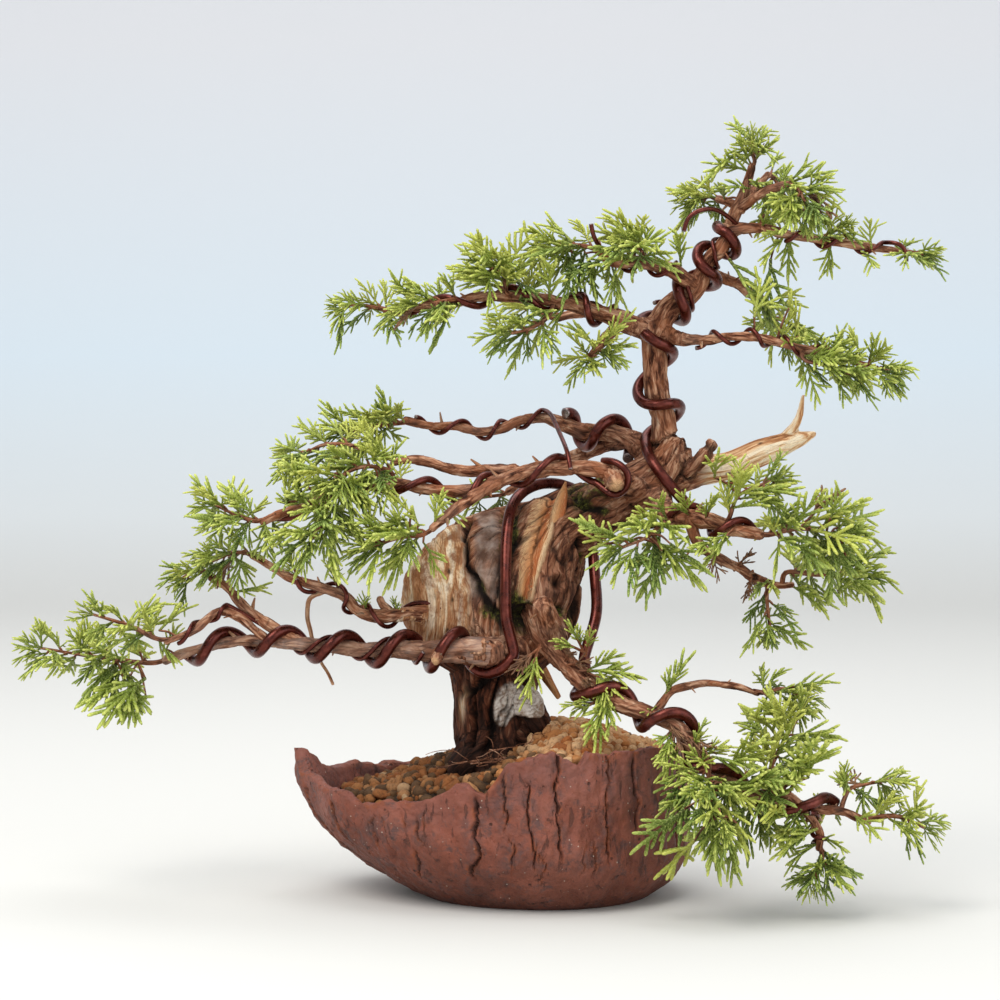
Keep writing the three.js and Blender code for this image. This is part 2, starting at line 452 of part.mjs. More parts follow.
// ---------------------------------------------------------------- the bowl
function rimHeight(degrees) {
  const angle = ((degrees % 360) + 360) % 360;
  const i = RIM.findIndex((_, k) => k + 1 < RIM.length && angle <= RIM[k + 1][0]);
  const [[a, low], [b, high]] = [RIM[i], RIM[i + 1]];
  return low + ((high - low) * (angle - a)) / (b - a);
}

function rimPlan(degrees, horn = true) {
  const angle = radians(degrees);
  const [c, s] = [Math.cos(angle), Math.sin(angle)];
  const away = (degrees - BOWL.hornAngle) / BOWL.hornWidth;
  const pull = 1 + (horn ? BOWL.hornReach * Math.exp(-away * away) : 0);
  const across = c > 0 ? BOWL.reachRight : BOWL.reachLeft;
  const deep = s > 0 ? BOWL.reachBack : BOWL.reachFront;
  return [pull * c * across, pull * s * deep];
}

// How wide the bowl is at a height, as a share of its rim: it swells slowly on the drawn-out
// left side and fast on the upright right side.
function bowlSwell(degrees, height) {
  const left = (1 - Math.cos(radians(degrees))) / 2;
  const full = BOWL.fullHeight + BOWL.fullHeightDrawn * left * left;
  const inset = BOWL.footInset + BOWL.footInsetDrawn * left * left;
  const power = BOWL.flank + BOWL.flankDrawn * left;
  return height >= full ? 1 : 1 - inset * (1 - height / full) ** power;
}

function bowlPoint(degrees, height, inset, horn = true) {
  const [x, y] = rimPlan(degrees, horn);
  const swell = bowlSwell(degrees, height);
  const share = swell * (1 - inset / (Math.hypot(x, y) * swell));
  return [x * share, y * share, height];
}

// The inner wall runs straight between these levels and the rim.
const INNER_LEVELS = [BOWL.floor, 14, 26];

function innerRim(degrees, inset) {
  return bowlPoint(degrees, rimHeight(degrees) - BOWL.lipBevel, inset);
}

function innerPoint(degrees, height, inset) {
  const line = INNER_LEVELS.map((level) => bowlPoint(degrees, level, inset, false));
  line.push(innerRim(degrees, inset));
  const i = Math.max(1, line.findIndex((point) => point[2] >= height));
  const [low, high] = [vector(line[i - 1]), vector(line[i])];
  return low.lerp(high, (height - low.z) / (high.z - low.z)).toArray();
}

// A closed skin over rings that each have the same number of points, with an apex below and above.
function ringSkin(bottom, ringRows, top) {
  const ring = ringRows[0].length;
  const last = 1 + (ringRows.length - 1) * ring;
  const indices = [];
  for (let k = 0; k < ring; k += 1) {
    const next = (k + 1) % ring;
    indices.push(0, 1 + next, 1 + k, last + k, last + next, last + ring);
    for (let a = 1; a < last; a += ring) {
      indices.push(a + k, a + next, a + ring + next, a + k, a + ring + next, a + ring + k);
    }
  }
  return solidOf(closedGeometry([...bottom, ...ringRows.flat(2), ...top], indices));
}

function makeBowl() {
  const stations = CRACKS.flatMap((crack, i) => {
    const next = i + 1 < CRACKS.length ? CRACKS[i + 1] : CRACKS[0] + 360;
    return [[crack, BOWL.crackDepth], [crack + BOWL.crackHalfAngle, 0], [next - BOWL.crackHalfAngle, 0]];
  });
  const outer = BOWL.crackLevels.map((share) => stations.map(([degrees, depth]) => {
    const notch = share === 1 ? 0.8 * depth : 0;
    return bowlPoint(degrees, rimHeight(degrees) * share - notch, depth * Math.min(1, share * 3));
  }));
  const rim = stations.map(([degrees]) => innerRim(degrees, BOWL.wall));
  const inner = INNER_LEVELS.slice().reverse()
    .map((level) => stations.map(([degrees]) => bowlPoint(degrees, level, BOWL.wall, false)));
  const skin = ringSkin([0, 0, 0], [...outer, rim, ...inner], [0, 0, BOWL.floor]);
  const holes = [-1, 1].map((way) => {
    const hole = new THREE.CylinderGeometry(DRAIN.radius, DRAIN.radius, 4 * BOWL.floor, 12);
    return solidOf(hole.rotateX(Math.PI / 2).translate(way * DRAIN.offset, 0, 0));
  });
  return meshOf("bowl", skin.subtract(joined(holes)), MATERIALS.clay);
}

function makeDrainMesh(name, x) {
  const plate = solidOf(new THREE.BoxGeometry(DRAIN.meshSide, DRAIN.meshSide, DRAIN.meshThickness));
  const holes = [];
  for (const [i, k] of [[-1, -1], [1, -1], [1, 1], [-1, 1]]) {
    const hole = new THREE.BoxGeometry(DRAIN.meshHole, DRAIN.meshHole, 2 * DRAIN.meshThickness);
    holes.push(solidOf(hole.translate((i * DRAIN.meshPitch) / 2, (k * DRAIN.meshPitch) / 2, 0)));
  }
  const mesh = meshOf(name, plate.subtract(joined(holes)), MATERIALS.mesh);
  mesh.position.set(x, 0, BOWL.floor + GAP + DRAIN.meshThickness / 2);
  return mesh;
}

// ---------------------------------------------------------------- the soil
// Ground level: it climbs from the bowl's low left side to a heap at the right of the trunk,
// with a dip before the trunk's foot.
function groundLevel(x, y, edge) {
  const climb = SOIL.climb * THREE.MathUtils.smoothstep(x, SOIL.climbFrom, SOIL.climbTo);
  const fall = SOIL.fall * Math.max(0, x - SOIL.climbTo);
  const away = (x - SOIL.dip.x) ** 2 + (y - SOIL.dip.y) ** 2;
  const dip = SOIL.dip.depth * Math.exp(-away / SOIL.dip.spread);
  return SOIL.lowest + climb + SOIL.crown * (1 - edge * edge) - fall - dip;
}

function makeSoil(buried) {
  const random = randomFrom(11);
  const inset = BOWL.wall + 2 * GAP;
  const walls = [BOWL.floor + GAP, ...INNER_LEVELS.slice(1)]
    .map((level) => CRACKS.map((degrees) => innerPoint(degrees, level, inset)));
  const tops = [1, 0.8, 0.55, 0.28].map((edge) => CRACKS.map((degrees) => {
    const [x, y] = innerPoint(degrees, SOIL.outlineLevel, inset).map((value) => value * edge);
    const level = groundLevel(x, y, edge);
    if (edge < 1) return [x, y, level];
    return innerPoint(degrees, Math.min(rimHeight(degrees) - SOIL.belowRim, level), inset);
  }));
  const heap = ringSkin([0, 0, BOWL.floor + GAP], [...walls, ...tops], [0, 0, groundLevel(0, 0, 0)]);
  const grains = [];
  for (let i = 0; i < GRANULE.count; i += 1) {
    const share = Math.sqrt((i + 0.5) / GRANULE.count) * 0.93;
    const wall = innerPoint(i * GOLDEN_TURN, SOIL.outlineLevel, inset + GRANULE.inset);
    const [x, y] = wall.map((value) => value * share);
    const size = GRANULE.smallest + (GRANULE.largest - GRANULE.smallest) * random();
    const grain = new THREE.OctahedronGeometry(size);
    grain.rotateX(6 * random()).rotateZ(6 * random()).scale(1, 1, 0.8);
    const lip = rimHeight(i * GOLDEN_TURN) - GRANULE.belowRim + 30 * (1 - share);
    grain.translate(x, y, Math.min(lip, groundLevel(x, y, share) + 0.2));
    grains.push(solidOf(grain));
  }
  const recesses = [-1, 1].map((way) => {
    const side = DRAIN.meshSide + 2 * GAP;
    const recess = new THREE.BoxGeometry(side, side, 2 * DRAIN.meshThickness + 4 * GAP);
    return solidOf(recess.translate(way * DRAIN.offset, 0, BOWL.floor + GAP));
  });
  const filled = joined([heap, ...grains]).subtract(buried).subtract(joined(recesses));
  return meshOf("soil", largestBody(filled), MATERIALS.soil);
}

// ---------------------------------------------------------------- the wires and the wood
function wireRoute({ lead = [], coils, tail = [], radius, steps }) {
  const wound = coils.flatMap((coil) => coilPoints(coil, radius, steps));
  const points = [...lead.map(vector), ...wound, ...tail.map(vector)];
  return points.map(({ x, y, z }) => [x, y, z, radius]);
}

const routes = Object.fromEntries(WIRES.map((wire) => [wire.name, wireRoute(wire)]));

function makeWires() {
  return WIRES.map(({ name, sides }) => meshOf(name, solidOf(tube(routes[name], sides)), MATERIALS.wire));
}

function makeTree() {
  const wood = joined(Object.values(WOOD).map(({ route, sides }) => solidOf(tube(route, sides))));
  const grooves = joined(WIRES.map(({ name, sides }) => solidOf(tube(routes[name], sides, GROOVE))));
  return meshOf("tree", largestBody(wood.subtract(grooves)), MATERIALS.bark);
}

// The buried wood a gap larger all round, also below the trunk's flat foot.
function buriedWood() {
  return joined(BURIED.map((name) => {
    const { route, sides } = WOOD[name];
    const [[x, y, z, radius], ...rest] = route;
    return solidOf(tube([[x, y, z - GAP, radius], ...rest], sides, GAP));
  }));
}

// ---------------------------------------------------------------- the foliage
// What is in the way: rods of wood, wire and finished sprays, and the bowl's right side.
const rods = [];
const BOWL_KEEP = { margin: 6, top: 62 };

function addRods(owner, route) {
  for (let i = 0; i < route.length - 1; i += 1) {
    const [a, b] = [vector(route[i]), vector(route[i + 1])];
    rods.push({ owner, a, b, radius: Math.max(route[i][3], route[i + 1][3]) });
  }
}

// Shortest distance between two straight rods' centre lines.
function rodDistance(a, b, c, d) {
  const [u, v, w] = [b.clone().sub(a), d.clone().sub(c), a.clone().sub(c)];
  const [uu, uv, vv, uw, vw] = [u.dot(u), u.dot(v), v.dot(v), u.dot(w), v.dot(w)];
  const clamp = (value) => Math.min(1, Math.max(0, value));
  const flat = uu * vv - uv * uv;
  let s = flat > 1e-9 ? clamp((uv * vw - vv * uw) / flat) : 0;
  const t = clamp((uv * s + vw) / vv);
  s = clamp((uv * t - uw) / uu);
  return a.clone().addScaledVector(u, s).distanceTo(c.clone().addScaledVector(v, t));
}

function isClear(owner, a, b, radius, spared = null) {
  if (Math.min(a.z, b.z) < NEEDLE.lowest) return false;
  for (const end of [a, b]) {
    const { margin, top } = BOWL_KEEP;
    const share = Math.hypot(end.x / (BOWL.reachRight + margin), end.y / (BOWL.reachFront + margin));
    if (end.z < top && share < 1) return false;
  }
  return rods.every((rod) => rod.owner === owner || rod.owner === spared
    || rodDistance(a, b, rod.a, rod.b) > rod.radius + radius + GAP);
}

// How far along its branch, in shares of it, a spray may be shifted to stand beside a wire.
const FOOT_SHIFTS = [0, 0.01, -0.01, 0.02, -0.02, 0.03, -0.03, 0.04, -0.04, 0.05, -0.05, 0.07, -0.07];

// Where a spray stands on its branch: beyond the branch's end, or on its side beside any wire.
function sprayFoot(name, on, first) {
  const share = nearestShare(on, first);
  if (share > 0.97) {
    const [before, end] = WOOD[on].route.slice(-2).map(vector);
    const out = end.clone().sub(before).normalize();
    return { root: end.addScaledVector(out, GAP), out };
  }
  for (const shift of FOOT_SHIFTS) {
    const { centre, along, radius } = alongBranch(on, share + shift);
    const out = first.clone().sub(centre);
    out.addScaledVector(along, -out.dot(along)).normalize();
    const root = centre.addScaledVector(out, radius + GAP);
    if (isClear(name, root, root.clone().addScaledVector(out, 4), STEM.radius, on)) return { root, out };
  }
  throw new Error(`no clear place for the spray ${name}`);
}

// A spray is one closed skin: a slim stem of turned triangles, with side twigs and needles
// drawn out of single facets of it.
function nextRing(skin, ring, centre, along, radius) {
  const [a, b, c] = ring.map((index) => skin.points[index]);
  const side = a.clone().add(b).multiplyScalar(0.5).sub(a.clone().add(b).add(c).divideScalar(3));
  side.addScaledVector(along, -side.dot(along)).normalize();
  const up = along.clone().cross(side);
  const next = [0, 1, 2].map((k) => {
    const turn = (2 * Math.PI * k) / 3;
    const corner = centre.clone().addScaledVector(side, radius * Math.cos(turn));
    skin.points.push(corner.addScaledVector(up, radius * Math.sin(turn)));
    return skin.points.length - 1;
  });
  const facets = [0, 1, 2].flatMap((k) => {
    const n = (k + 1) % 3;
    return [[ring[k], ring[n], next[k]], [ring[n], next[n], next[k]]];
  });
  return { next, facets };
}

function facetCentre(skin, facet) {
  const [a, b, c] = facet.map((index) => skin.points[index]);
  return a.clone().add(b).add(c).divideScalar(3);
}

function facetNormal(skin, facet) {
  const [a, b, c] = facet.map((index) => skin.points[index]);
  return b.clone().sub(a).cross(c.clone().sub(a)).normalize();
}

// Whether an edge of one face runs through another that it shares no corner with.
function edgeCuts(points, face, other) {
  const corners = other.map((index) => points[index]);
  return [0, 1, 2].some((k) => {
    const [i, j] = [face[k], face[(k + 1) % 3]];
    if (other.includes(i) || other.includes(j)) return false;
    const way = points[j].clone().sub(points[i]);
    const length = way.length();
    const ray = new THREE.Ray(points[i], way.normalize());
    const hit = ray.intersectTriangle(...corners, false, new THREE.Vector3());
    return hit !== null && hit.distanceTo(points[i]) < length;
  });
}

function cutsSkin({ points, laid }, faces) {
  const boxOf = (face) => new THREE.Box3().setFromPoints(face.map((index) => points[index]));
  return faces.some((face) => {
    const box = boxOf(face);
    return laid.some((other) => box.intersectsBox(boxOf(other))
      && (edgeCuts(points, face, other) || edgeCuts(points, other, face)));
  });
}

// Rings along a line, from a facet that the stem starts on; the facets of its sides come back.
function growStem(skin, ring, line, radii) {
  const sides = [];
  let last = ring;
  for (let i = 1; i < line.length; i += 1) {
    const ahead = line[Math.min(i + 1, line.length - 1)];
    const along = ahead.clone().sub(line[i - 1]).normalize();
    const { next, facets } = nextRing(skin, last, line[i], along, radii[i]);
    sides.push(...facets.map((facet) => ({ facet, along, step: i })));
    last = next;
  }
  return { sides, end: last };
}

function growSpray(name, { on, core, reach, twigs, more = [] }, seed) {
  const random = randomFrom(seed);
  const { root, out } = sprayFoot(name, on, vector(core[0]));
  const heading = [root, root.clone().addScaledVector(out, STEM.sleeve)];
  const curve = new THREE.CatmullRomCurve3([heading[1], ...core.slice(1).map(vector)], false, "centripetal");
  const steps = Math.max(3, Math.round(curve.getLength() / STEM.step));
  const line = [root, ...curve.getPoints(steps)];
  // faces holds the finished skin, and laid also the facets that something is drawn out of.
  const skin = { points: [], faces: [], laid: [] };
  const side = new THREE.Vector3(-out.z, out.x, out.y).cross(out).normalize();
  const up = out.clone().cross(side);
  for (let k = 0; k < 3; k += 1) {
    const corner = root.clone().addScaledVector(side, STEM.radius * Math.cos((2 * Math.PI * k) / 3));
    skin.points.push(corner.addScaledVector(up, STEM.radius * Math.sin((2 * Math.PI * k) / 3)));
  }
  skin.faces.push([0, 2, 1]);
  const own = [];
  const scale = Math.min(1, Math.max(0.6, (reach[0] + reach[1]) / 20));
  const radii = line.map((_, i) => STEM.radius - (STEM.taper * i) / steps);
  const stem = growStem(skin, [0, 1, 2], line, radii);
  skin.laid.push(...stem.sides.map(({ facet }) => facet), stem.end);
  for (let i = 0; i < line.length - 1; i += 1) {
    own.push({ a: line[i], b: line[i + 1], radius: STEM.radius, stem: 0 });
  }

  // A clear way out of a facet; it is judged from a little above its root.
  const isOpen = (from, to, radius, parent) => {
    const aim = to.clone().sub(from).normalize();
    const start = from.clone().addScaledVector(aim, 1.5);
    const above = from.clone().addScaledVector(aim, 3);
    return isClear(name, start, to, radius + 0.4) && own.every((rod) => rod.stem === parent
      || rodDistance(above, to, rod.a, rod.b) > rod.radius + radius + 0.15);
  };
  const drawNeedle = ({ facet, along }, parent, lean) => {
    const from = facetCentre(skin, facet);
    const normal = facetNormal(skin, facet);
    for (const share of NEEDLE.tries) {
      const aim = normal.clone().addScaledVector(along, lean).normalize();
      const length = NEEDLE.shortest + (NEEDLE.longest - NEEDLE.shortest) * random();
      const tip = from.clone().addScaledVector(aim, share * scale * length);
      const index = skin.points.length;
      const faces = [0, 1, 2].map((k) => [facet[k], facet[(k + 1) % 3], index]);
      skin.points.push(tip);
      if (isOpen(from, tip, NEEDLE.radius, parent) && !cutsSkin(skin, faces)) {
        const middle = from.clone().lerp(tip, 0.5);
        own.push({ a: from.clone().addScaledVector(aim, 2), b: middle, radius: 1.6 * NEEDLE.radius });
        own.push({ a: middle, b: tip, radius: NEEDLE.radius });
        skin.faces.push(...faces);
        skin.laid.push(...faces);
        return;
      }
      skin.points.pop();
    }
    skin.faces.push(facet);
  };

  const budsAt = new Map();
  const buds = stem.sides.filter(({ step }) => step > 1);
  const aims = more.map(vector);
  for (let i = 0; i < twigs + aims.length; i += 1) {
    const wanted = Math.floor(((i + 0.5) * buds.length) / (twigs + aims.length));
    budsAt.set(buds[wanted], aims[i - twigs]);
  }
  const branches = [];
  stem.sides.forEach((bud) => {
    if (!budsAt.has(bud)) return;
    const from = facetCentre(skin, bud.facet);
    const normal = facetNormal(skin, bud.facet);
    const spread = Math.hypot(reach[0] * Math.hypot(normal.x, normal.y), reach[1] * normal.z);
    const aim = normal.clone().addScaledVector(bud.along, TWIG.lean).normalize();
    const free = from.clone().addScaledVector(aim, spread * (0.8 + 0.3 * random()));
    const target = budsAt.get(bud) ?? free;
    for (const share of TWIG.tries) {
      const to = from.clone().lerp(target, share);
      const before = skin.points.length;
      const twig = growStem(skin, bud.facet, [from, from.clone().lerp(to, 0.5), to], TWIG.radii);
      const faces = [...twig.sides.map(({ facet }) => facet), twig.end];
      if (isOpen(from, to, TWIG.clearRadius, 0) && !cutsSkin(skin, faces)) {
        const id = branches.length + 1;
        skin.laid.push(...faces);
        own.push({ a: from.clone().lerp(to, 0.2), b: to, radius: TWIG.clearRadius, stem: id });
        branches.push({ id, ...twig });
        bud.used = true;
        return;
      }
      skin.points.length = before;
    }
  });
  branches.forEach(({ id, sides, end }) => {
    const along = sides[sides.length - 1].along;
    drawNeedle({ facet: end, along }, id, 0.2);
    sides.forEach((bud, i) => {
      if ((i * 2 + id) % 5 < NEEDLE.perTwigOfFive) drawNeedle(bud, id, 1);
      else skin.faces.push(bud.facet);
    });
  });
  drawNeedle({ facet: stem.end, along: stem.sides[stem.sides.length - 1].along }, 0, 0.2);
  stem.sides.filter((bud) => !bud.used).forEach((bud, i) => {
    if (bud.step > 2 && i % 4 === 0) drawNeedle(bud, 0, 0.9);
    else skin.faces.push(bud.facet);
  });
  own.forEach(({ a, b, radius }) => rods.push({ owner: name, a, b, radius }));
  const positions = skin.points.flatMap((point) => point.toArray());
  return meshOf(`foliage${name}`, solidOf(closedGeometry(positions, skin.faces.flat())), MATERIALS.leaf);
}

// ---------------------------------------------------------------- the whole plant
const bonsai = new THREE.Group();
bonsai.name = "bonsai";
bonsai.add(makeBowl());
bonsai.add(makeDrainMesh("drainMeshLeft", -DRAIN.offset));
bonsai.add(makeDrainMesh("drainMeshRight", DRAIN.offset));
bonsai.add(makeSoil(buriedWood()));
bonsai.add(makeTree());
bonsai.add(...makeWires());
for (const [name, { route }] of Object.entries(WOOD)) addRods(name, route);
for (const [name, route] of Object.entries(routes)) addRods(name, route);
Object.entries(SPRAYS).forEach(([name, spray], i) => bonsai.add(growSpray(name, spray, 100 + i)));

export default bonsai;
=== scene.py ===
# A wired juniper bonsai in a hand-formed bowl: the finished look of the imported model, in its frame.
import math
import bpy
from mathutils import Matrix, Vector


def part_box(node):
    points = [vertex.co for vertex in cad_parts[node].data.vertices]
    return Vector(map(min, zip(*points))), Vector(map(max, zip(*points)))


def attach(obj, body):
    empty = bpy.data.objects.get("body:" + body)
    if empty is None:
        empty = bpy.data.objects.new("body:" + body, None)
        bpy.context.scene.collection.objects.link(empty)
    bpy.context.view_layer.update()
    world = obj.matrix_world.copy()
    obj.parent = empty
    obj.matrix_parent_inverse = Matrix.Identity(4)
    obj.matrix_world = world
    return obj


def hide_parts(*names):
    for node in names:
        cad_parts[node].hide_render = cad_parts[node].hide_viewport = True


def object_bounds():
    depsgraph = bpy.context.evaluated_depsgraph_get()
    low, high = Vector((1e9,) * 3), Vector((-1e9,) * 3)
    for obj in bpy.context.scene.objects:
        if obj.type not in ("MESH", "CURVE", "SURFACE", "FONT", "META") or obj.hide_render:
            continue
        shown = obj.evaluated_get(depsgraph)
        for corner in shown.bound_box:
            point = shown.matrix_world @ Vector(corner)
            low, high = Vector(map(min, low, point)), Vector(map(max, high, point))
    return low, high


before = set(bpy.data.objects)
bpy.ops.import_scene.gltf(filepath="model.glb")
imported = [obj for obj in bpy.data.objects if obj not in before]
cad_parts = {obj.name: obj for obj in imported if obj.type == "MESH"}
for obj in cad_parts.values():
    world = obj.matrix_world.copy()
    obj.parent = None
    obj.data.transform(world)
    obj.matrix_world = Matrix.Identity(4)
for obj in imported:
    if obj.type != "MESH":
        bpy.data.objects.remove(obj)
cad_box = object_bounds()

from types import SimpleNamespace as Zones

import bmesh
import bpy
import numpy as np
from mathutils import Vector

MM = 0.001  # every size below is in millimetres; objects are made in metres
GOLDEN_DEGREES, GOLDEN_TURN = 137.508, 2.399963  # the turn from one seed of a sunflower to the next
GAP = 0.35  # running gap between neighbouring pieces
THICK, MEDIUM, THIN = 2, 1.25, 0.8  # radii of the training wires
CAPS = [(0.4, 0.94), (0.75, 0.7), (0.96, 0.32)]  # rings of a round end: how far out, how much is left

# ---------------------------------------------------------------- the bowl's driving values
REACH_LEFT, REACH_RIGHT, REACH_FRONT, REACH_BACK = 76, 58, 58, 50
WALL, FLOOR = 4.5, 7
INNER_LEVELS = (FLOOR, 14, 26)  # levels between which the inner wall runs straight
HORN_ANGLE, HORN_REACH, HORN_WIDTH = 178, 0.08, 9
DRAIN_RADIUS, DRAIN_OFFSET = 5, 20

# Angles (degrees from +X, anticlockwise seen from above) and heights of the torn rim.
RIM = [
    (0, 52), (25, 49), (60, 46), (90, 43), (120, 41), (138, 41), (147, 42), (160, 42), (169, 44),
    (178, 51), (184, 43), (198, 40), (210, 40), (214, 38), (219, 35), (228, 37), (237, 39), (245, 40),
    (250, 44), (252, 46), (255, 44), (259, 42), (262, 47), (265, 53), (271, 55), (279, 56), (284, 54),
    (288, 51), (292, 56), (301, 55), (308, 56), (323, 55), (338, 51), (360, 52),
]
# Cracks in the bowl's wall: the angle at the foot and at the head, the shares of the wall's height
# between which it is open, and its half width.
CRACKS = [
    (207, 207, 0.50, 0.92, 0.45), (216, 217, 0.45, 0.80, 0.35), (225, 225, 0.58, 0.90, 0.35),
    (230, 229, 0.46, 0.86, 0.40), (235, 239, 0.28, 0.58, 0.45), (236, 236, 0.76, 0.87, 0.28),
    (240, 240, 0.60, 0.85, 0.38), (243, 244, 0.74, 0.91, 0.30), (256, 258, 0.28, 0.95, 0.60),
    (264, 265, 0.58, 0.96, 0.45), (266, 266, 0.28, 0.52, 0.32), (272, 270, 0.30, 0.86, 0.50),
    (275, 274, 0.20, 0.46, 0.30), (281, 280, 0.36, 1.05, 0.55), (289, 290, 0.28, 0.45, 0.30),
    (294, 293, 0.24, 0.46, 0.35), (299, 298, 0.34, 1.05, 0.55), (312, 310, 0.48, 0.97, 0.55),
    (323, 322, 0.35, 0.95, 0.50), (337, 338, 0.30, 0.90, 0.50), (352, 351, 0.45, 0.97, 0.45),
]
CRACKS += [(angle, angle + 1, 0.30, 0.92, 0.50) for angle in range(8, 200, 16)]  # round the back

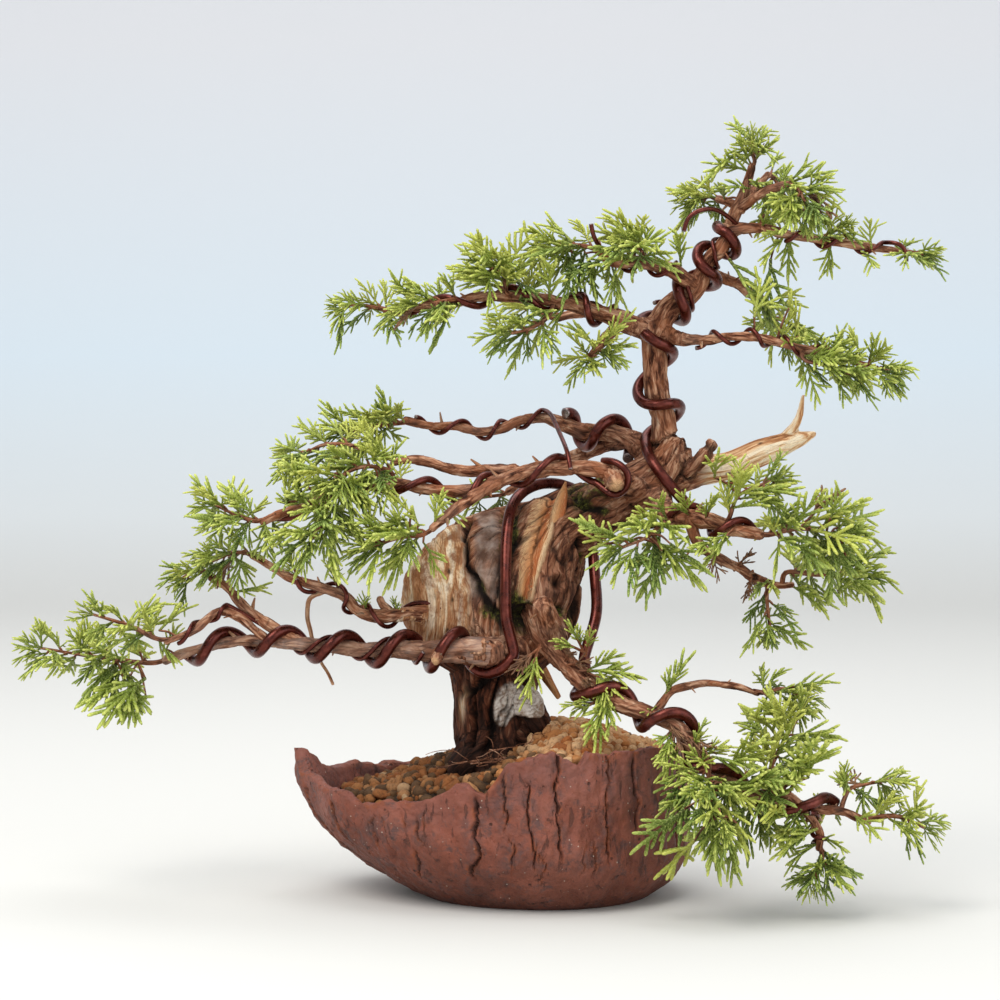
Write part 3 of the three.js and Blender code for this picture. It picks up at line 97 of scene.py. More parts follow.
# Centre lines of the wood, one row a branch: x, y, z and radius.
WOOD = {
    "trunkFoot": [(-8, 0, 24, 13.5), (-8, 0, 40, 16), (-10, 0, 54, 15), (-11, 0, 68, 15),
        (-11, 0, 80, 16.5), (-12, 0, 95, 20), (-12, 0, 104, 18)],
    "trunkLeft": [(-15, 0, 84, 12), (-25, -2, 95, 16), (-27, 0, 107, 16.5), (-20, 0, 115, 16),
        (-12, 2, 121, 14.5), (-2, 4, 125, 13), (10, 5, 130, 11.5), (21, 5, 136, 9.5)],
    "trunkFront": [(-3, -4, 86, 12), (6, -6, 101, 13.5), (7, -4, 115, 13.5), (11, -2, 126, 13),
        (24, 0, 135, 10.5), (37, 2, 142, 9.5), (47, 4, 149, 8.5), (52, 4, 157, 7)],
    "trunkMiddle": [(-9, -4, 88, 16), (-9, -6, 108, 16), (-5, -3, 118, 14.5), (7, 0, 129, 12)],
    "trunkUpper": [(53, 4, 155, 6.5), (50, 4, 160, 5), (49, 4, 169, 4.5), (47, 4, 175, 4.5),
        (46, 3, 188, 4.5), (46, 3, 197, 4.5), (50, 4, 206, 4.5), (55, 4, 210, 4.5), (59, 3, 213, 4),
        (63, 2, 219, 3.5), (65, 1, 224, 3), (69, 0, 228, 3), (72, 0, 233, 2.5), (73, 0, 238, 2.5),
        (77, 0, 247, 2), (80, 0, 257, 1.6)],
    "rootLeft": [(-12, -6, 55, 9.5), (-21, -10, 48, 6), (-30, -14, 39, 3)],
    "rootRight": [(-2, -4, 56, 9.5), (7, -4, 51, 7), (17, -4, 44, 4)],
    "rootBack": [(-7, 6, 55, 9.5), (-5, 24, 45, 6), (-2, 34, 36, 3)],
    "burl": [(-3, -8, 73, 5.5), (2, -10, 65, 6), (8, -8, 55, 4)],
    "tornRidge": [(4, -16, 101, 2.2), (7, -16, 114, 4), (11, -13, 133, 3), (14, -12, 146, 1.1)],
    "tornStrip": [(3, 8, 84, 2.2), (8, 14, 74, 1.6), (12, 17, 67, 1)],
    "lowLeft": [(-6, -18, 87, 6), (-19, -27, 88, 5), (-32, -26, 88, 4), (-44, -22, 88, 3),
        (-58, -20, 88, 2.5), (-72, -18, 89, 2.5), (-86, -15, 90, 2.1), (-100, -12, 90, 1.9),
        (-115, -10, 87, 1.8), (-127, -8, 83, 1.6)],
    "lowLeftStub": [(-30, -28, 88, 2.5), (-31, -38, 86, 1.9)],
    "lowLeftUpper": [(-79, -16, 90, 2.1), (-90, -14, 96, 1.9), (-100, -10, 103, 1.8), (-105, -6, 108, 1.4),
        (-111, -4, 112, 1.3)],
    "lowLeftLower": [(-90, -15, 90, 1.8), (-95, -14, 94, 1.6), (-101, -15, 99, 1.6), (-108, -17, 101, 1.4),
        (-115, -21, 95, 1.3), (-125, -23, 91, 1.1)],
    "secondLeft": [(-27, -10, 99, 4), (-41, -16, 100, 2.5), (-49, -17, 99, 2.5), (-56, -17, 100, 2.5),
        (-60, -17, 102, 2.1), (-63, -17, 106, 2), (-71, -17, 109, 1.9), (-78, -16, 111, 1.7),
        (-83, -15, 113, 1.6), (-90, -13, 117, 1.4), (-96, -12, 120, 1.3)],
    "secondLeftSpur": [(-47, -17, 100, 1.4), (-50, -17, 103, 1.3), (-51, -17, 105, 1.3)],
    "deadTwig": [(-71, -16, 108, 1), (-76, -12, 105, 0.9), (-77, -9, 99, 0.8), (-76, -8, 94, 0.8),
        (-73, -9, 84, 0.7), (-70, -10, 79, 0.6), (-68, -11, 75, 0.6)],
    "midLeft": [(39, -4, 142, 4.5), (30, -14, 149, 3), (17, -18, 151, 2.5), (5, -20, 151, 2.5),
        (-6, -20, 148, 2.5), (-16, -20, 144, 2.5), (-25, -20, 143, 2.2), (-35, -20, 144, 2),
        (-46, -20, 146, 1.8), (-59, -22, 144, 1.8), (-77, -24, 139, 1.6), (-91, -24, 133, 1.4)],
    "midLeftStub": [(30, -12, 149, 3.5), (31, -25, 146, 3)],
    "midLeftUpper": [(-4, -18, 151, 2.1), (-14, -12, 150, 2.1), (-22, -10, 150, 2.1), (-28, -10, 151, 1.9),
        (-34, -10, 153, 1.8), (-40, -12, 154, 1.6), (-46, -14, 153, 1.4)],
    "midLeftLower": [(-10, -21, 146, 2), (-19, -26, 141, 2.2), (-26, -30, 136, 2), (-32, -32, 131, 1.4)],
    "highLeft": [(45, 8, 155, 5), (38, 10, 160, 3.5), (29, 12, 163, 3), (20, 14, 163, 3),
        (13, 15, 166, 2.5), (7, 16, 168, 2), (-2, 16, 167, 1.8), (-9, 15, 164, 1.8), (-16, 15, 163, 1.6),
        (-25, 14, 165, 1.5), (-34, 14, 165, 1.4), (-43, 14, 167, 1.3)],
    "highLeftBack": [(34, 12, 160, 3), (24, 22, 156, 2.5), (13, 30, 151, 2.5), (2, 38, 145, 2),
        (-6, 44, 140, 1.4)],
    "midRight": [(45, -1, 143, 4.5), (51, -16, 134, 3), (60, -26, 134, 3), (70, -32, 131, 2.5),
        (80, -36, 129, 2)],
    "midRightLower": [(57, -25, 133, 2.2), (59, -25, 127, 2.1), (62, -24, 123, 1.9), (69, -20, 119, 1.7),
        (75, -18, 116, 1.7), (79, -16, 113, 1.6), (87, -14, 110, 1.4), (93, -14, 110, 1.3)],
    "lowRight": [(3, -8, 102, 6), (8, -20, 91, 5), (12, -24, 86, 4), (17, -30, 81, 3.5),
        (21, -34, 77, 3.5), (27, -38, 73, 3), (33, -42, 71, 3), (40, -46, 69, 3), (46, -50, 67, 2.5),
        (52, -53, 64, 2.5), (56, -55, 58, 2.5), (60, -56, 53, 2.5), (67, -56, 47, 2), (76, -56, 43, 2),
        (87, -55, 40, 2), (97, -54, 37, 1.9), (106, -52, 36, 1.7), (116, -50, 32, 1.4)],
    "lowRightStub": [(10, -19, 92, 4.5), (8, -26, 98, 4.5), (6, -33, 104, 3.5)],
    "lowRightTwig": [(44, -46, 69, 1.8), (50, -44, 76, 1.4), (60, -40, 78, 1.3), (70, -36, 77, 1.2),
        (80, -32, 74, 1)],
    "lowRightTail": [(81, -56, 46, 1.8), (92, -58, 39, 1.5), (99, -57, 29, 1.3), (99, -56, 24, 1.2)],
    "topLeft": [(46, 4, 199, 4), (39, -2, 201, 3), (32, -6, 204, 3), (24, -8, 206, 3), (18, -8, 208, 2.5),
        (7, -8, 210, 2.1), (-5, -8, 211, 1.9), (-16, -8, 211, 1.8), (-28, -8, 208, 1.6),
        (-42, -8, 207, 1.4), (-49, -8, 206, 1.3)],
    "topLeftBack": [(46, 5, 198, 3), (34, 16, 202, 2.5), (24, 24, 206, 2.2), (12, 28, 204, 1.6)],
    "topLeftLower": [(36, -4, 204, 2.2), (28, -10, 196, 1.8), (23, -12, 190, 1.4)],
    "topLeftUpper": [(59, 1, 216, 3), (49, -6, 221, 2.5), (40, -10, 223, 2.2), (31, -12, 223, 1.8),
        (25, -12, 227, 1.4)],
    "topRight": [(48, 2, 198, 3), (58, -4, 196, 1.9), (65, -8, 196, 1.8), (72, -10, 197, 1.6),
        (79, -12, 197, 1.6), (85, -12, 196, 1.6), (92, -14, 194, 1.5), (100, -14, 192, 1.5),
        (109, -14, 190, 1.4), (118, -14, 187, 1.3)],
    "topRightBack": [(64, 2, 221, 2.5), (70, 8, 218, 2), (76, 14, 216, 1.8), (80, 17, 213, 1.6),
        (85, 19, 211, 1.4)],
    "crownRight": [(71, 0, 235, 2.5), (83, -4, 235, 1.9), (93, -6, 233, 1.7), (105, -6, 231, 1.6),
        (118, -6, 229, 1.5), (131, -4, 227, 1.3)],
    "crownTwigRight": [(75, 0, 242, 2), (84, -8, 248, 1.6), (91, -12, 250, 1.3)],
    "crownTwigLeft": [(76, 0, 242, 1.8), (72, 6, 245, 1.5), (69, 9, 246, 1.3)],
    "crownTwigBack": [(77, 0, 246, 1.6), (82, 12, 250, 1.4), (87, 18, 255, 1.3)],
    "jin": [(52, 6, 146, 6), (62, 8, 149, 5.5), (73, 8, 151, 5), (84, 8, 155.5, 5), (92, 8, 158.5, 4.2),
        (99, 8, 161, 2.6), (103, 8, 162.5, 1.2)],
    "jinFork": [(92, 8, 160, 2.2), (97, 7, 167, 1.6), (99, 6, 176, 0.7)],
    "jinStub": [(58, 2, 149, 3), (64, -5, 156, 2.5), (65, -5, 158, 2.5)],
}

# Training wires. A coil is its branch, the axis (0 x, 2 z) and where it starts and ends along that
# axis, its turns, and the angle it starts at in half turns. lead and tail are the free ends.
WIRES = {
    "wireLowLeft": {"radius": THICK,
        "lead": [(22, 19, 140), (14, 13, 144), (5, 4, 145), (-3, -7, 141), (-6, -15, 134), (-7, -21, 122),
            (-7, -26, 108), (-7, -27, 98)],
        "coils": [("lowLeft", 0, -9, -121, -5.5, -0.5)]},
    "wireLowLeftThin": {"radius": THIN,
        "coils": [("lowLeft", 0, -34, -84, -2.5, -0.5), ("lowLeftLower", 0, -105, -122, -1.5, 0)]},
    "wireSecondLeft": {"radius": THIN,
        "coils": [("secondLeft", 0, -30, -80, 3, -0.4)]},
    "wireMidLeft": {"radius": MEDIUM,
        "lead": [(27, -14, 153.5), (31, -18, 153.5), (35.5, -20, 150), (35.5, -20, 145), (31, -20, 141)],
        "coils": [("midLeft", 0, 25, -87, -4.2, -1)]},
    "wireHighLeft": {"radius": THICK,
        "coils": [("highLeft", 0, 40, 13, -1.6, -1)]},
    "wireHighLeftThin": {"radius": THIN,
        "lead": [(15.5, -23.5, 151), (14.5, -21, 157), (11.5, -6, 164), (9, 8, 170)],
        "coils": [("highLeft", 0, 6, -40, -3, -0.1)]},
    "wireLowRight": {"radius": THICK,
        "lead": [(24, -3, 121), (24.5, -8, 112), (25, -14, 105), (24.5, -20, 98)],
        "coils": [("lowRight", 0, 15, 106, -4, -0.35)]},
    "wireLowRightTail": {"radius": THIN,
        "coils": [("lowRightTail", 2, 36, 25, -1.7, 0.4)]},
    "wireMidRight": {"radius": MEDIUM,
        "coils": [("midRight", 0, 53, 78, -1.5, 0.5)]},
    "wireTrunk": {"radius": THICK,
        "lead": [(61, -11, 133), (55, -10.5, 140), (49, -8.5, 147), (44, -5, 154)],
        "coils": [("trunkUpper", 2, 161, 200, -2, -1), ("trunkUpper", 2, 201, 236, -3, -1.1)]},
    "wireCrown": {"radius": THIN,
        "coils": [("trunkUpper", 2, 206, 236, -2.5, -1.1)],
        "tail": [(68, -6.5, 241.5), (63, -9, 241.7), (59, -10, 240.3), (56.5, -10, 238),
            (55.4, -10, 233.6)]},
    "wireTopLeft": {"radius": MEDIUM,
        "coils": [("topLeft", 0, 32, -44, 3.5, 0.15)]},
    "wireTopLeftUpper": {"radius": THIN,
        "coils": [("topLeftUpper", 0, 52, 31, -2, 0)],
        "tail": [(27.5, -16, 226), (25, -19, 229), (23.3, -20, 232.2), (22.6, -20, 236)]},
    "wireTopRight": {"radius": THIN,
        "coils": [("topRight", 0, 60, 112, 4, 1)]},
    "wireCrownRight": {"radius": THIN,
        "coils": [("crownRight", 0, 92, 126, -2.5, 1)],
        "tail": [(129, -8, 230), (132.1, -8.5, 228.8), (133.5, -8.5, 226), (133.5, -8.5, 223)]},
}

# Foliage: the branch, the points of the spray's core, how far its twigs reach sideways and upwards,
# how many they are, and the ends of twigs with an aim of their own.
SPRAYS = {
    "LowLeftTip": ("lowLeft", [(-131, -8, 82), (-151, -8, 84), (-171, -7, 87)], (17, 11), 10,
        [(-136, -20, 70), (-152, -16, 74)]),
    "LowLeftFront": ("lowLeftLower", [(-128, -25, 92), (-137, -30, 97), (-149, -32, 101)], (12, 9), 6, []),
    "LowLeftShoot": ("lowLeftUpper", [(-113, -4, 114), (-117, -4, 114), (-121, -4, 112)], (9, 7), 5, []),
    "SecondLeftTip": ("secondLeft", [(-98, -11, 121), (-103, -10, 121), (-110, -8, 118)], (13, 9), 6,
        [(-84, -22, 118)]),
    "MidLeftTip": ("midLeft", [(-94, -24, 133), (-101, -21, 135), (-108, -18, 138)], (17, 11), 7, []),
    "MidLeftFront": ("midLeft", [(-68, -29, 141), (-69, -38, 135), (-73, -44, 128)], (18, 13), 9, []),
    "MidLeftBack": ("midLeftUpper", [(-62, -13, 159), (-71, -8, 159), (-81, -2, 154)], (18, 12), 9, []),
    "MidLeftUnder": ("midLeftLower", [(-35, -33, 129), (-43, -36, 128), (-53, -38, 125)], (16, 12), 9, []),
    "MidLeftTop": ("midLeft", [(-47, -22, 150), (-56, -27, 152), (-66, -33, 148)], (17, 12), 9, []),
    "HighLeftTip": ("highLeft", [(-46, 14, 166), (-54, 14, 165), (-63, 12, 163)], (15, 9), 9, []),
    "HighLeftBack": ("highLeftBack", [(-8, 46, 139), (-13, 50, 138), (-18, 54, 137)], (12, 8), 5, []),
    "MidRightFront": ("midRight", [(47, -27, 132), (41, -38, 128), (33, -42, 125)], (17, 14), 9, []),
    "MidRightTop": ("midRight", [(70, -34, 135), (73, -33, 142), (84, -30, 147)], (15, 11), 7, []),
    "MidRightTip": ("midRight", [(83, -37, 129), (94, -38, 131), (107, -36, 129)], (18, 15), 11, []),
    "MidRightBack": ("midRightLower", [(91, -13, 114), (104, -8, 113), (117, -4, 114)], (17, 13), 9, []),
    "MidRightHang": ("midRightLower", [(84, -18, 112), (84, -22, 105), (85, -22, 96)], (9, 9), 5, []),
    "LowRightFront": ("lowRight", [(60, -61, 52), (62, -70, 46), (64, -78, 38)], (17, 15), 10, []),
    "LowRightInner": ("lowRight", [(74, -51, 47), (77, -46, 41), (80, -42, 32)], (13, 12), 7, []),
    "LowRightTop": ("lowRight", [(83, -50, 50), (88, -42, 58), (94, -35, 66)], (16, 13), 9, []),
    "LowRightTail": ("lowRightTail", [(100, -56, 21), (100, -58, 18), (97, -59, 15)], (12, 7), 6, []),
    "LowRightTip": ("lowRight", [(123, -50, 34), (129, -50, 33), (135, -50, 30)], (11, 9), 6, []),
    "LowRightUpper": ("lowRight", [(110, -49, 43), (116, -45, 44), (124, -41, 45)], (12, 9), 5, []),
    "LowRightShoot": ("lowRightTwig", [(82, -31, 74), (90, -28, 75), (97, -24, 71)], (13, 10), 6, []),
    "TopLeftTip": ("topLeft", [(-57, -8, 208), (-60, -8, 208), (-64, -8, 208)], (9, 6), 5, []),
    "TopLeftOuter": ("topLeft", [(-25, -12, 210), (-30, -16, 209), (-37, -19, 208)], (15, 10), 7, []),
    "TopLeftMiddle": ("topLeft", [(-7, -10, 213), (-8, -12, 218), (-12, -13, 221)], (16, 10), 9, []),
    "TopLeftUnder": ("topLeft", [(8, -12, 204), (2, -17, 200), (-5, -22, 198)], (15, 10), 7, []),
    "TopLeftBack": ("topLeftBack", [(10, 29, 204), (4, 34, 207), (-2, 38, 209)], (13, 9), 6, []),
    "TopLeftUpperTip": ("topLeftUpper", [(23, -12, 228), (17, -11, 229), (9, -9, 228)], (15, 10), 7, []),
    "TopLeftInner": ("topLeftUpper", [(41, -12, 224), (40, -18, 227), (36, -22, 229)], (16, 11), 9, []),
    "TopLeftLower": ("topLeftLower", [(22, -13, 190), (24, -17, 192), (27, -20, 194)], (11, 9), 6, []),
    "TopRightTip": ("topRight", [(120, -14, 187), (123, -14, 186), (127, -14, 185)], (10, 6), 5, []),
    "TopRightTop": ("topRight", [(97, -17, 189), (104, -20, 187), (112, -24, 184)], (16, 11), 9, []),
    "TopRightBack": ("topRightBack", [(86, 20, 209), (90, 22, 204), (94, 26, 198)], (14, 9), 7, []),
    "CrownRightTip": ("crownRight", [(132, -4, 227), (135, -4, 227), (140, -4, 226)], (7, 5), 4, []),
    "CrownRightUnder": ("crownRight", [(106, -8, 232), (107, -9, 234), (109, -10, 235)], (10, 7), 5, []),
    "CrownTop": ("trunkUpper", [(81, 0, 259), (80, 0, 262), (80, 0, 266)], (9, 8), 6, []),
    "CrownLeft": ("crownTwigLeft", [(68, 10, 246), (66, 12, 247), (62, 13, 246)], (13, 9), 7, []),
    "CrownRight": ("crownTwigRight", [(92, -12, 250), (95, -16, 248), (97, -18, 243)], (14, 11), 9, []),
    "CrownBack": ("crownTwigBack", [(88, 19, 255), (91, 26, 253), (94, 31, 248)], (12, 10), 7, []),
}

# ---------------------------------------------------------------- numbers
def unit(rows):
    """Each row at length one."""
    rows = np.asarray(rows, float)
    return rows / np.maximum(np.linalg.norm(rows, axis=-1, keepdims=True), 1e-9)


def smooth(value, low, high):
    """0 below low, 1 above high, with a soft step between."""
    share = np.clip((value - low) / (high - low), 0, 1)
    return share * share * (3 - 2 * share)


def hashed(cells, seed):
    """A repeatable number from 0 to 1 for each lattice cell."""
    x, y, z = cells.astype(np.int64).astype(np.uint32).T
    mixed = x * np.uint32(374761393) + y * np.uint32(668265263) + z * np.uint32(2246822519)
    mixed = mixed + np.uint32(seed * 40503 + 97)
    mixed = (mixed ^ (mixed >> np.uint32(13))) * np.uint32(1274126177)
    mixed = (mixed ^ (mixed >> np.uint32(15))) * np.uint32(2246822519)
    return (mixed >> np.uint32(8)) / float(1 << 24)


def field(points, scale, seed=0):
    """Soft noise from -1 to 1; scale is the size of a lump, one number or three."""
    places = np.asarray(points, float) / scale
    cells = np.floor(places)
    share = places - cells
    share = share * share * (3 - 2 * share)
    total = np.zeros(len(places))
    for corner in range(8):
        step = np.array([corner & 1, corner >> 1 & 1, corner >> 2])
        weight = np.prod(np.where(step, share, 1 - share), axis=1)
        total += weight * hashed(cells + step, seed)
    return 2 * total - 1


def rough(points, scale, seed=0, octaves=3):
    """Noise with finer noise on it."""
    scale = np.asarray(scale, float)
    return sum(field(points, scale / 2 ** k, seed + k) / 2 ** k for k in range(octaves))


# ---------------------------------------------------------------- lines
def spline(route, shares):
    """Points of the centripetal curve through a route, at shares of the way; the radius is linear."""
    rows = np.asarray(route, float)
    at = np.clip(np.asarray(shares, float), 0, 1) * (len(rows) - 1)
    i = np.minimum(at.astype(int), len(rows) - 2)
    w = (at - i)[:, None]
    body = rows[:, :3]
    full = np.vstack([2 * body[0] - body[1], body, 2 * body[-1] - body[-2]])
    a, b, c, d = full[i], full[i + 1], full[i + 2], full[i + 3]
    ab, bc, cd = [np.sqrt(np.maximum(np.linalg.norm(q - p, axis=1), 1e-6))[:, None]
                  for p, q in ((a, b), (b, c), (c, d))]
    leave = ((b - a) / ab - (c - a) / (ab + bc) + (c - b) / bc) * bc
    arrive = ((c - b) / bc - (d - b) / (bc + cd) + (d - c) / cd) * bc
    points = (b + w * leave + w ** 2 * (-3 * b + 3 * c - 2 * leave - arrive)
              + w ** 3 * (2 * b - 2 * c + leave + arrive))
    if rows.shape[1] == 3:
        return points
    return np.hstack([points, rows[i, 3:] * (1 - w) + rows[i + 1, 3:] * w])


def lengths(points):
    """How far along a line each of its points lies."""
    steps = np.linalg.norm(np.diff(points[:, :3], axis=0), axis=1)
    return np.concatenate([[0], np.cumsum(steps)])


def evenly(route, step):
    """A route's smooth line with a point every step millimetres."""
    fine = spline(route, np.linspace(0, 1, 24 * len(route)))
    along = lengths(fine)
    marks = np.linspace(0, along[-1], max(3, int(round(along[-1] / step)) + 1))
    return np.column_stack([np.interp(marks, along, column) for column in fine.T])


def carried(points):
    """The direction and two side vectors at each point of a line, carried along without a twist."""
    along = unit(np.gradient(points[:, :3], axis=0))
    side = np.array([0.0, 0.0, 1.0]) if abs(along[0][2]) < 0.9 else np.array([1.0, 0.0, 0.0])
    sides = []
    for direction in along:
        side = unit(side - direction * side.dot(direction))
        sides.append(side)
    sides = np.array(sides)
    return along, sides, np.cross(along, sides)


def share_at(name, axis, value):
    """The share of the way where a branch first passes a coordinate, or its nearer end."""
    route = WOOD[name]
    for i in range(len(route) - 1):
        a, b = route[i][axis], route[i + 1][axis]
        if (a - value) * (b - value) <= 0 and a != b:
            return (i + (value - a) / (b - a)) / (len(route) - 1)
    return 0 if abs(value - route[0][axis]) < abs(value - route[-1][axis]) else 1


# ---------------------------------------------------------------- meshes
def set_value(mesh, key, value):
    """Stores a number or a vector for each point, for the materials to read."""
    kind, word = ("FLOAT", "value") if value.ndim == 1 else ("FLOAT_VECTOR", "vector")
    mesh.attributes.new(key, kind, "POINT").data.foreach_set(word, value.astype(np.float32).ravel())


class Heap:
    """Many small closed meshes gathered into one, with a value of each kind at every point."""

    def __init__(self):
        self.points, self.quads, self.tris, self.values = [], [], [], {}
        self.count = 0

    def add(self, points, quads=(), tris=(), **values):
        """Takes in one mesh; a value is one number for all its points or a row for each."""
        if len(quads):
            self.quads.append(np.asarray(quads) + self.count)
        if len(tris):
            self.tris.append(np.asarray(tris) + self.count)
        for key, value in values.items():
            shape = (len(points), 3) if np.ndim(value) == 2 else (len(points),)
            self.values.setdefault(key, []).append((self.count, np.broadcast_to(value, shape)))
        self.points.append(points)
        self.count += len(points)

    def piece(self, name, material, slot, nodes=()):
        """Makes one object of everything that was taken in."""
        points = np.vstack(self.points)
        faces = [np.vstack(rows) for rows in (self.quads, self.tris) if rows]
        sizes = np.concatenate([np.full(len(rows), rows.shape[1]) for rows in faces])
        mesh = bpy.data.meshes.new(name)
        mesh.vertices.add(len(points))
        mesh.vertices.foreach_set("co", (points * MM).astype(np.float32).ravel())
        mesh.loops.add(int(sizes.sum()))
        mesh.loops.foreach_set("vertex_index", np.concatenate([rows.ravel() for rows in faces]))
        mesh.polygons.add(len(sizes))
        mesh.polygons.foreach_set("loop_start", np.concatenate([[0], np.cumsum(sizes)[:-1]]))
        mesh.update(calc_edges=True)
        mesh.shade_smooth()
        for key, rows in self.values.items():
            value = np.zeros((len(points), *rows[0][1].shape[1:]))
            for start, part in rows:
                value[start:start + len(part)] = part
            set_value(mesh, key, value)
        return finished(bpy.data.objects.new(name, mesh), material, nodes)


def finished(piece, material, nodes):
    """Puts a piece in the scene, on the model's one body, in place of the nodes that it stands for."""
    bpy.context.scene.collection.objects.link(piece)
    piece.data.materials.append(material)
    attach(piece, "root")
    if nodes:
        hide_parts(*nodes)
    return piece


def ring_faces(rings, sides):
    """The quads between rings of points, and the two fans that close the first and the last ring on
    the two points that follow them."""
    k = np.arange(sides)
    turned = (k + 1) % sides
    base = (np.arange(rings - 1) * sides)[:, None]
    near, far = (base + k).ravel(), (base + turned).ravel()
    quads = np.column_stack([near, far, far + sides, near + sides])
    foot = rings * sides
    end = foot - sides
    first = np.column_stack([np.full(sides, foot), turned, k])
    last = np.column_stack([np.full(sides, foot + 1), end + k, end + turned])
    return quads, first, last


def tube(line, sides, relief=None, blunt=1.0):
    """A closed tube with round ends along rows of x, y, z, radius. relief gives each ring point's
    growth in millimetres from its place along the line and its angle."""
    along, side, up = carried(line)
    radius = line[:, 3]
    place = lengths(line)
    foot, head = along[0] * radius[0] * blunt, along[-1] * radius[-1] * blunt
    first = [line[0, :3] - foot * out for out, _ in CAPS[::-1]]
    last = [line[-1, :3] + head * out for out, _ in CAPS]
    centres = np.vstack([first, line[:, :3], last])
    kept = np.array([share for _, share in CAPS])
    radii = np.concatenate([radius[0] * kept[::-1], radius, radius[-1] * kept])
    rings = len(centres)
    ring = np.repeat(np.arange(rings), sides)
    row = np.pad(np.arange(len(line)), len(CAPS), "edge")[ring]
    angle = np.tile(2 * np.pi * np.arange(sides) / sides, rings)
    grown = radii[ring]
    if relief is not None:
        grown = grown * (1 + relief(place[row], angle, radii[ring]) / radius[row])
    way = side[row] * np.cos(angle)[:, None] + up[row] * np.sin(angle)[:, None]
    points = centres[ring] + way * grown[:, None]
    tips = np.vstack([centres[0] - foot * 0.04, centres[-1] + head * 0.04])
    quads, foot_fan, head_fan = ring_faces(rings, sides)
    local = np.column_stack([np.cos(angle) * radii[ring], np.sin(angle) * radii[ring], place[row]])
    local = np.vstack([local, [[0, 0, 0], [0, 0, place[-1]]]])
    body = {"points": np.vstack([points, tips]), "quads": quads, "tris": np.vstack([foot_fan, head_fan])}
    return body, local


def applied(piece):
    """Applies a piece's modifiers to its mesh, in their order."""
    with bpy.context.temp_override(object=piece, active_object=piece):
        for name in piece.modifiers.keys():
            bpy.ops.object.modifier_apply(modifier=name)


# ---------------------------------------------------------------- materials
class Shader:
    """A material's nodes, made one by one; every input is a number, a colour or another node's output."""

    def __init__(self, name):
        self.material = bpy.data.materials.new(name)
        self.material.use_nodes = True
        self.tree = self.material.node_tree
        self.surface = self.tree.nodes["Principled BSDF"]

    def put(self, socket, value):
        if isinstance(value, bpy.types.NodeSocket):
            self.tree.links.new(value, socket)
        else:
            socket.default_value = value

    def node(self, kind, inputs, output=0, **settings):
        made = self.tree.nodes.new("ShaderNode" + kind)
        for key, value in settings.items():
            setattr(made, key, value)
        for key, value in inputs.items():
            self.put(made.inputs[key], value)
        return made.outputs[output]

    def value(self, name):
        return self.node("Attribute", {}, "Fac", attribute_name=name)

    def vector(self, name, stretch):
        place = self.node("Attribute", {}, "Vector", attribute_name=name)
        return self.node("VectorMath", {0: place, 1: stretch}, operation="MULTIPLY")

    def place(self):
        return self.node("TexCoord", {}, "Object")

    def noise(self, where, scale, detail=4.0, roughness=0.55, distortion=0.0):
        return self.node("TexNoise", {"Vector": where, "Scale": scale, "Detail": detail,
                                      "Roughness": roughness, "Distortion": distortion}, "Fac")

    def cells(self, where, scale, feature="F1"):
        return self.node("TexVoronoi", {"Vector": where, "Scale": scale}, "Distance", feature=feature)

    def ramp(self, value, stops):
        made = self.tree.nodes.new("ShaderNodeValToRGB")
        self.put(made.inputs[0], value)
        spots = made.color_ramp.elements
        while len(spots) < len(stops):
            spots.new(0.5)
        for spot, (place, colour) in zip(spots, stops):
            spot.position = place
            spot.color = (*colour, 1)
        return made.outputs[0]

    def grade(self, value, low, high, start=0.0, end=1.0):
        return self.node("MapRange", {"Value": value, "From Min": low, "From Max": high,
                                      "To Min": start, "To Max": end})

    def patches(self, where, kind, low, high, start=0.0, end=1.0):
        """Noise of a kind (scale, detail, roughness, distortion), cut to patches with soft edges."""
        return self.grade(self.noise(where, *kind), low, high, start, end)

    def math(self, operation, first, second=0.0):
        return self.node("Math", {0: first, 1: second}, operation=operation)

    def times(self, first, second):
        return self.math("MULTIPLY", first, second)

    def blend(self, share, first, second):
        made = self.tree.nodes.new("ShaderNodeMix")
        made.data_type = "RGBA"
        self.put(made.inputs[0], share)
        for socket, value in ((made.inputs[6], first), (made.inputs[7], second)):
            self.put(socket, (*value, 1) if isinstance(value, tuple) else value)
        return made.outputs[2]

    def tint(self, colour, share, strength, tone):
        """A colour with a tone laid over it, as far as share and strength say together."""
        return self.blend(self.times(share, strength), colour, tone)

    def bump(self, height, distance, strength, under=None):
        inputs = {"Height": height, "Distance": distance * MM, "Strength": strength}
        if under is not None:
            inputs["Normal"] = under
        return self.node("Bump", inputs)

    def finish(self, colour, roughness, normal, **constants):
        self.put(self.surface.inputs["Base Color"], colour)
        self.put(self.surface.inputs["Roughness"], roughness)
        self.put(self.surface.inputs["Normal"], normal)
        for key, value in constants.items():
            self.surface.inputs[key.replace("_", " ")].default_value = value
        return self.material


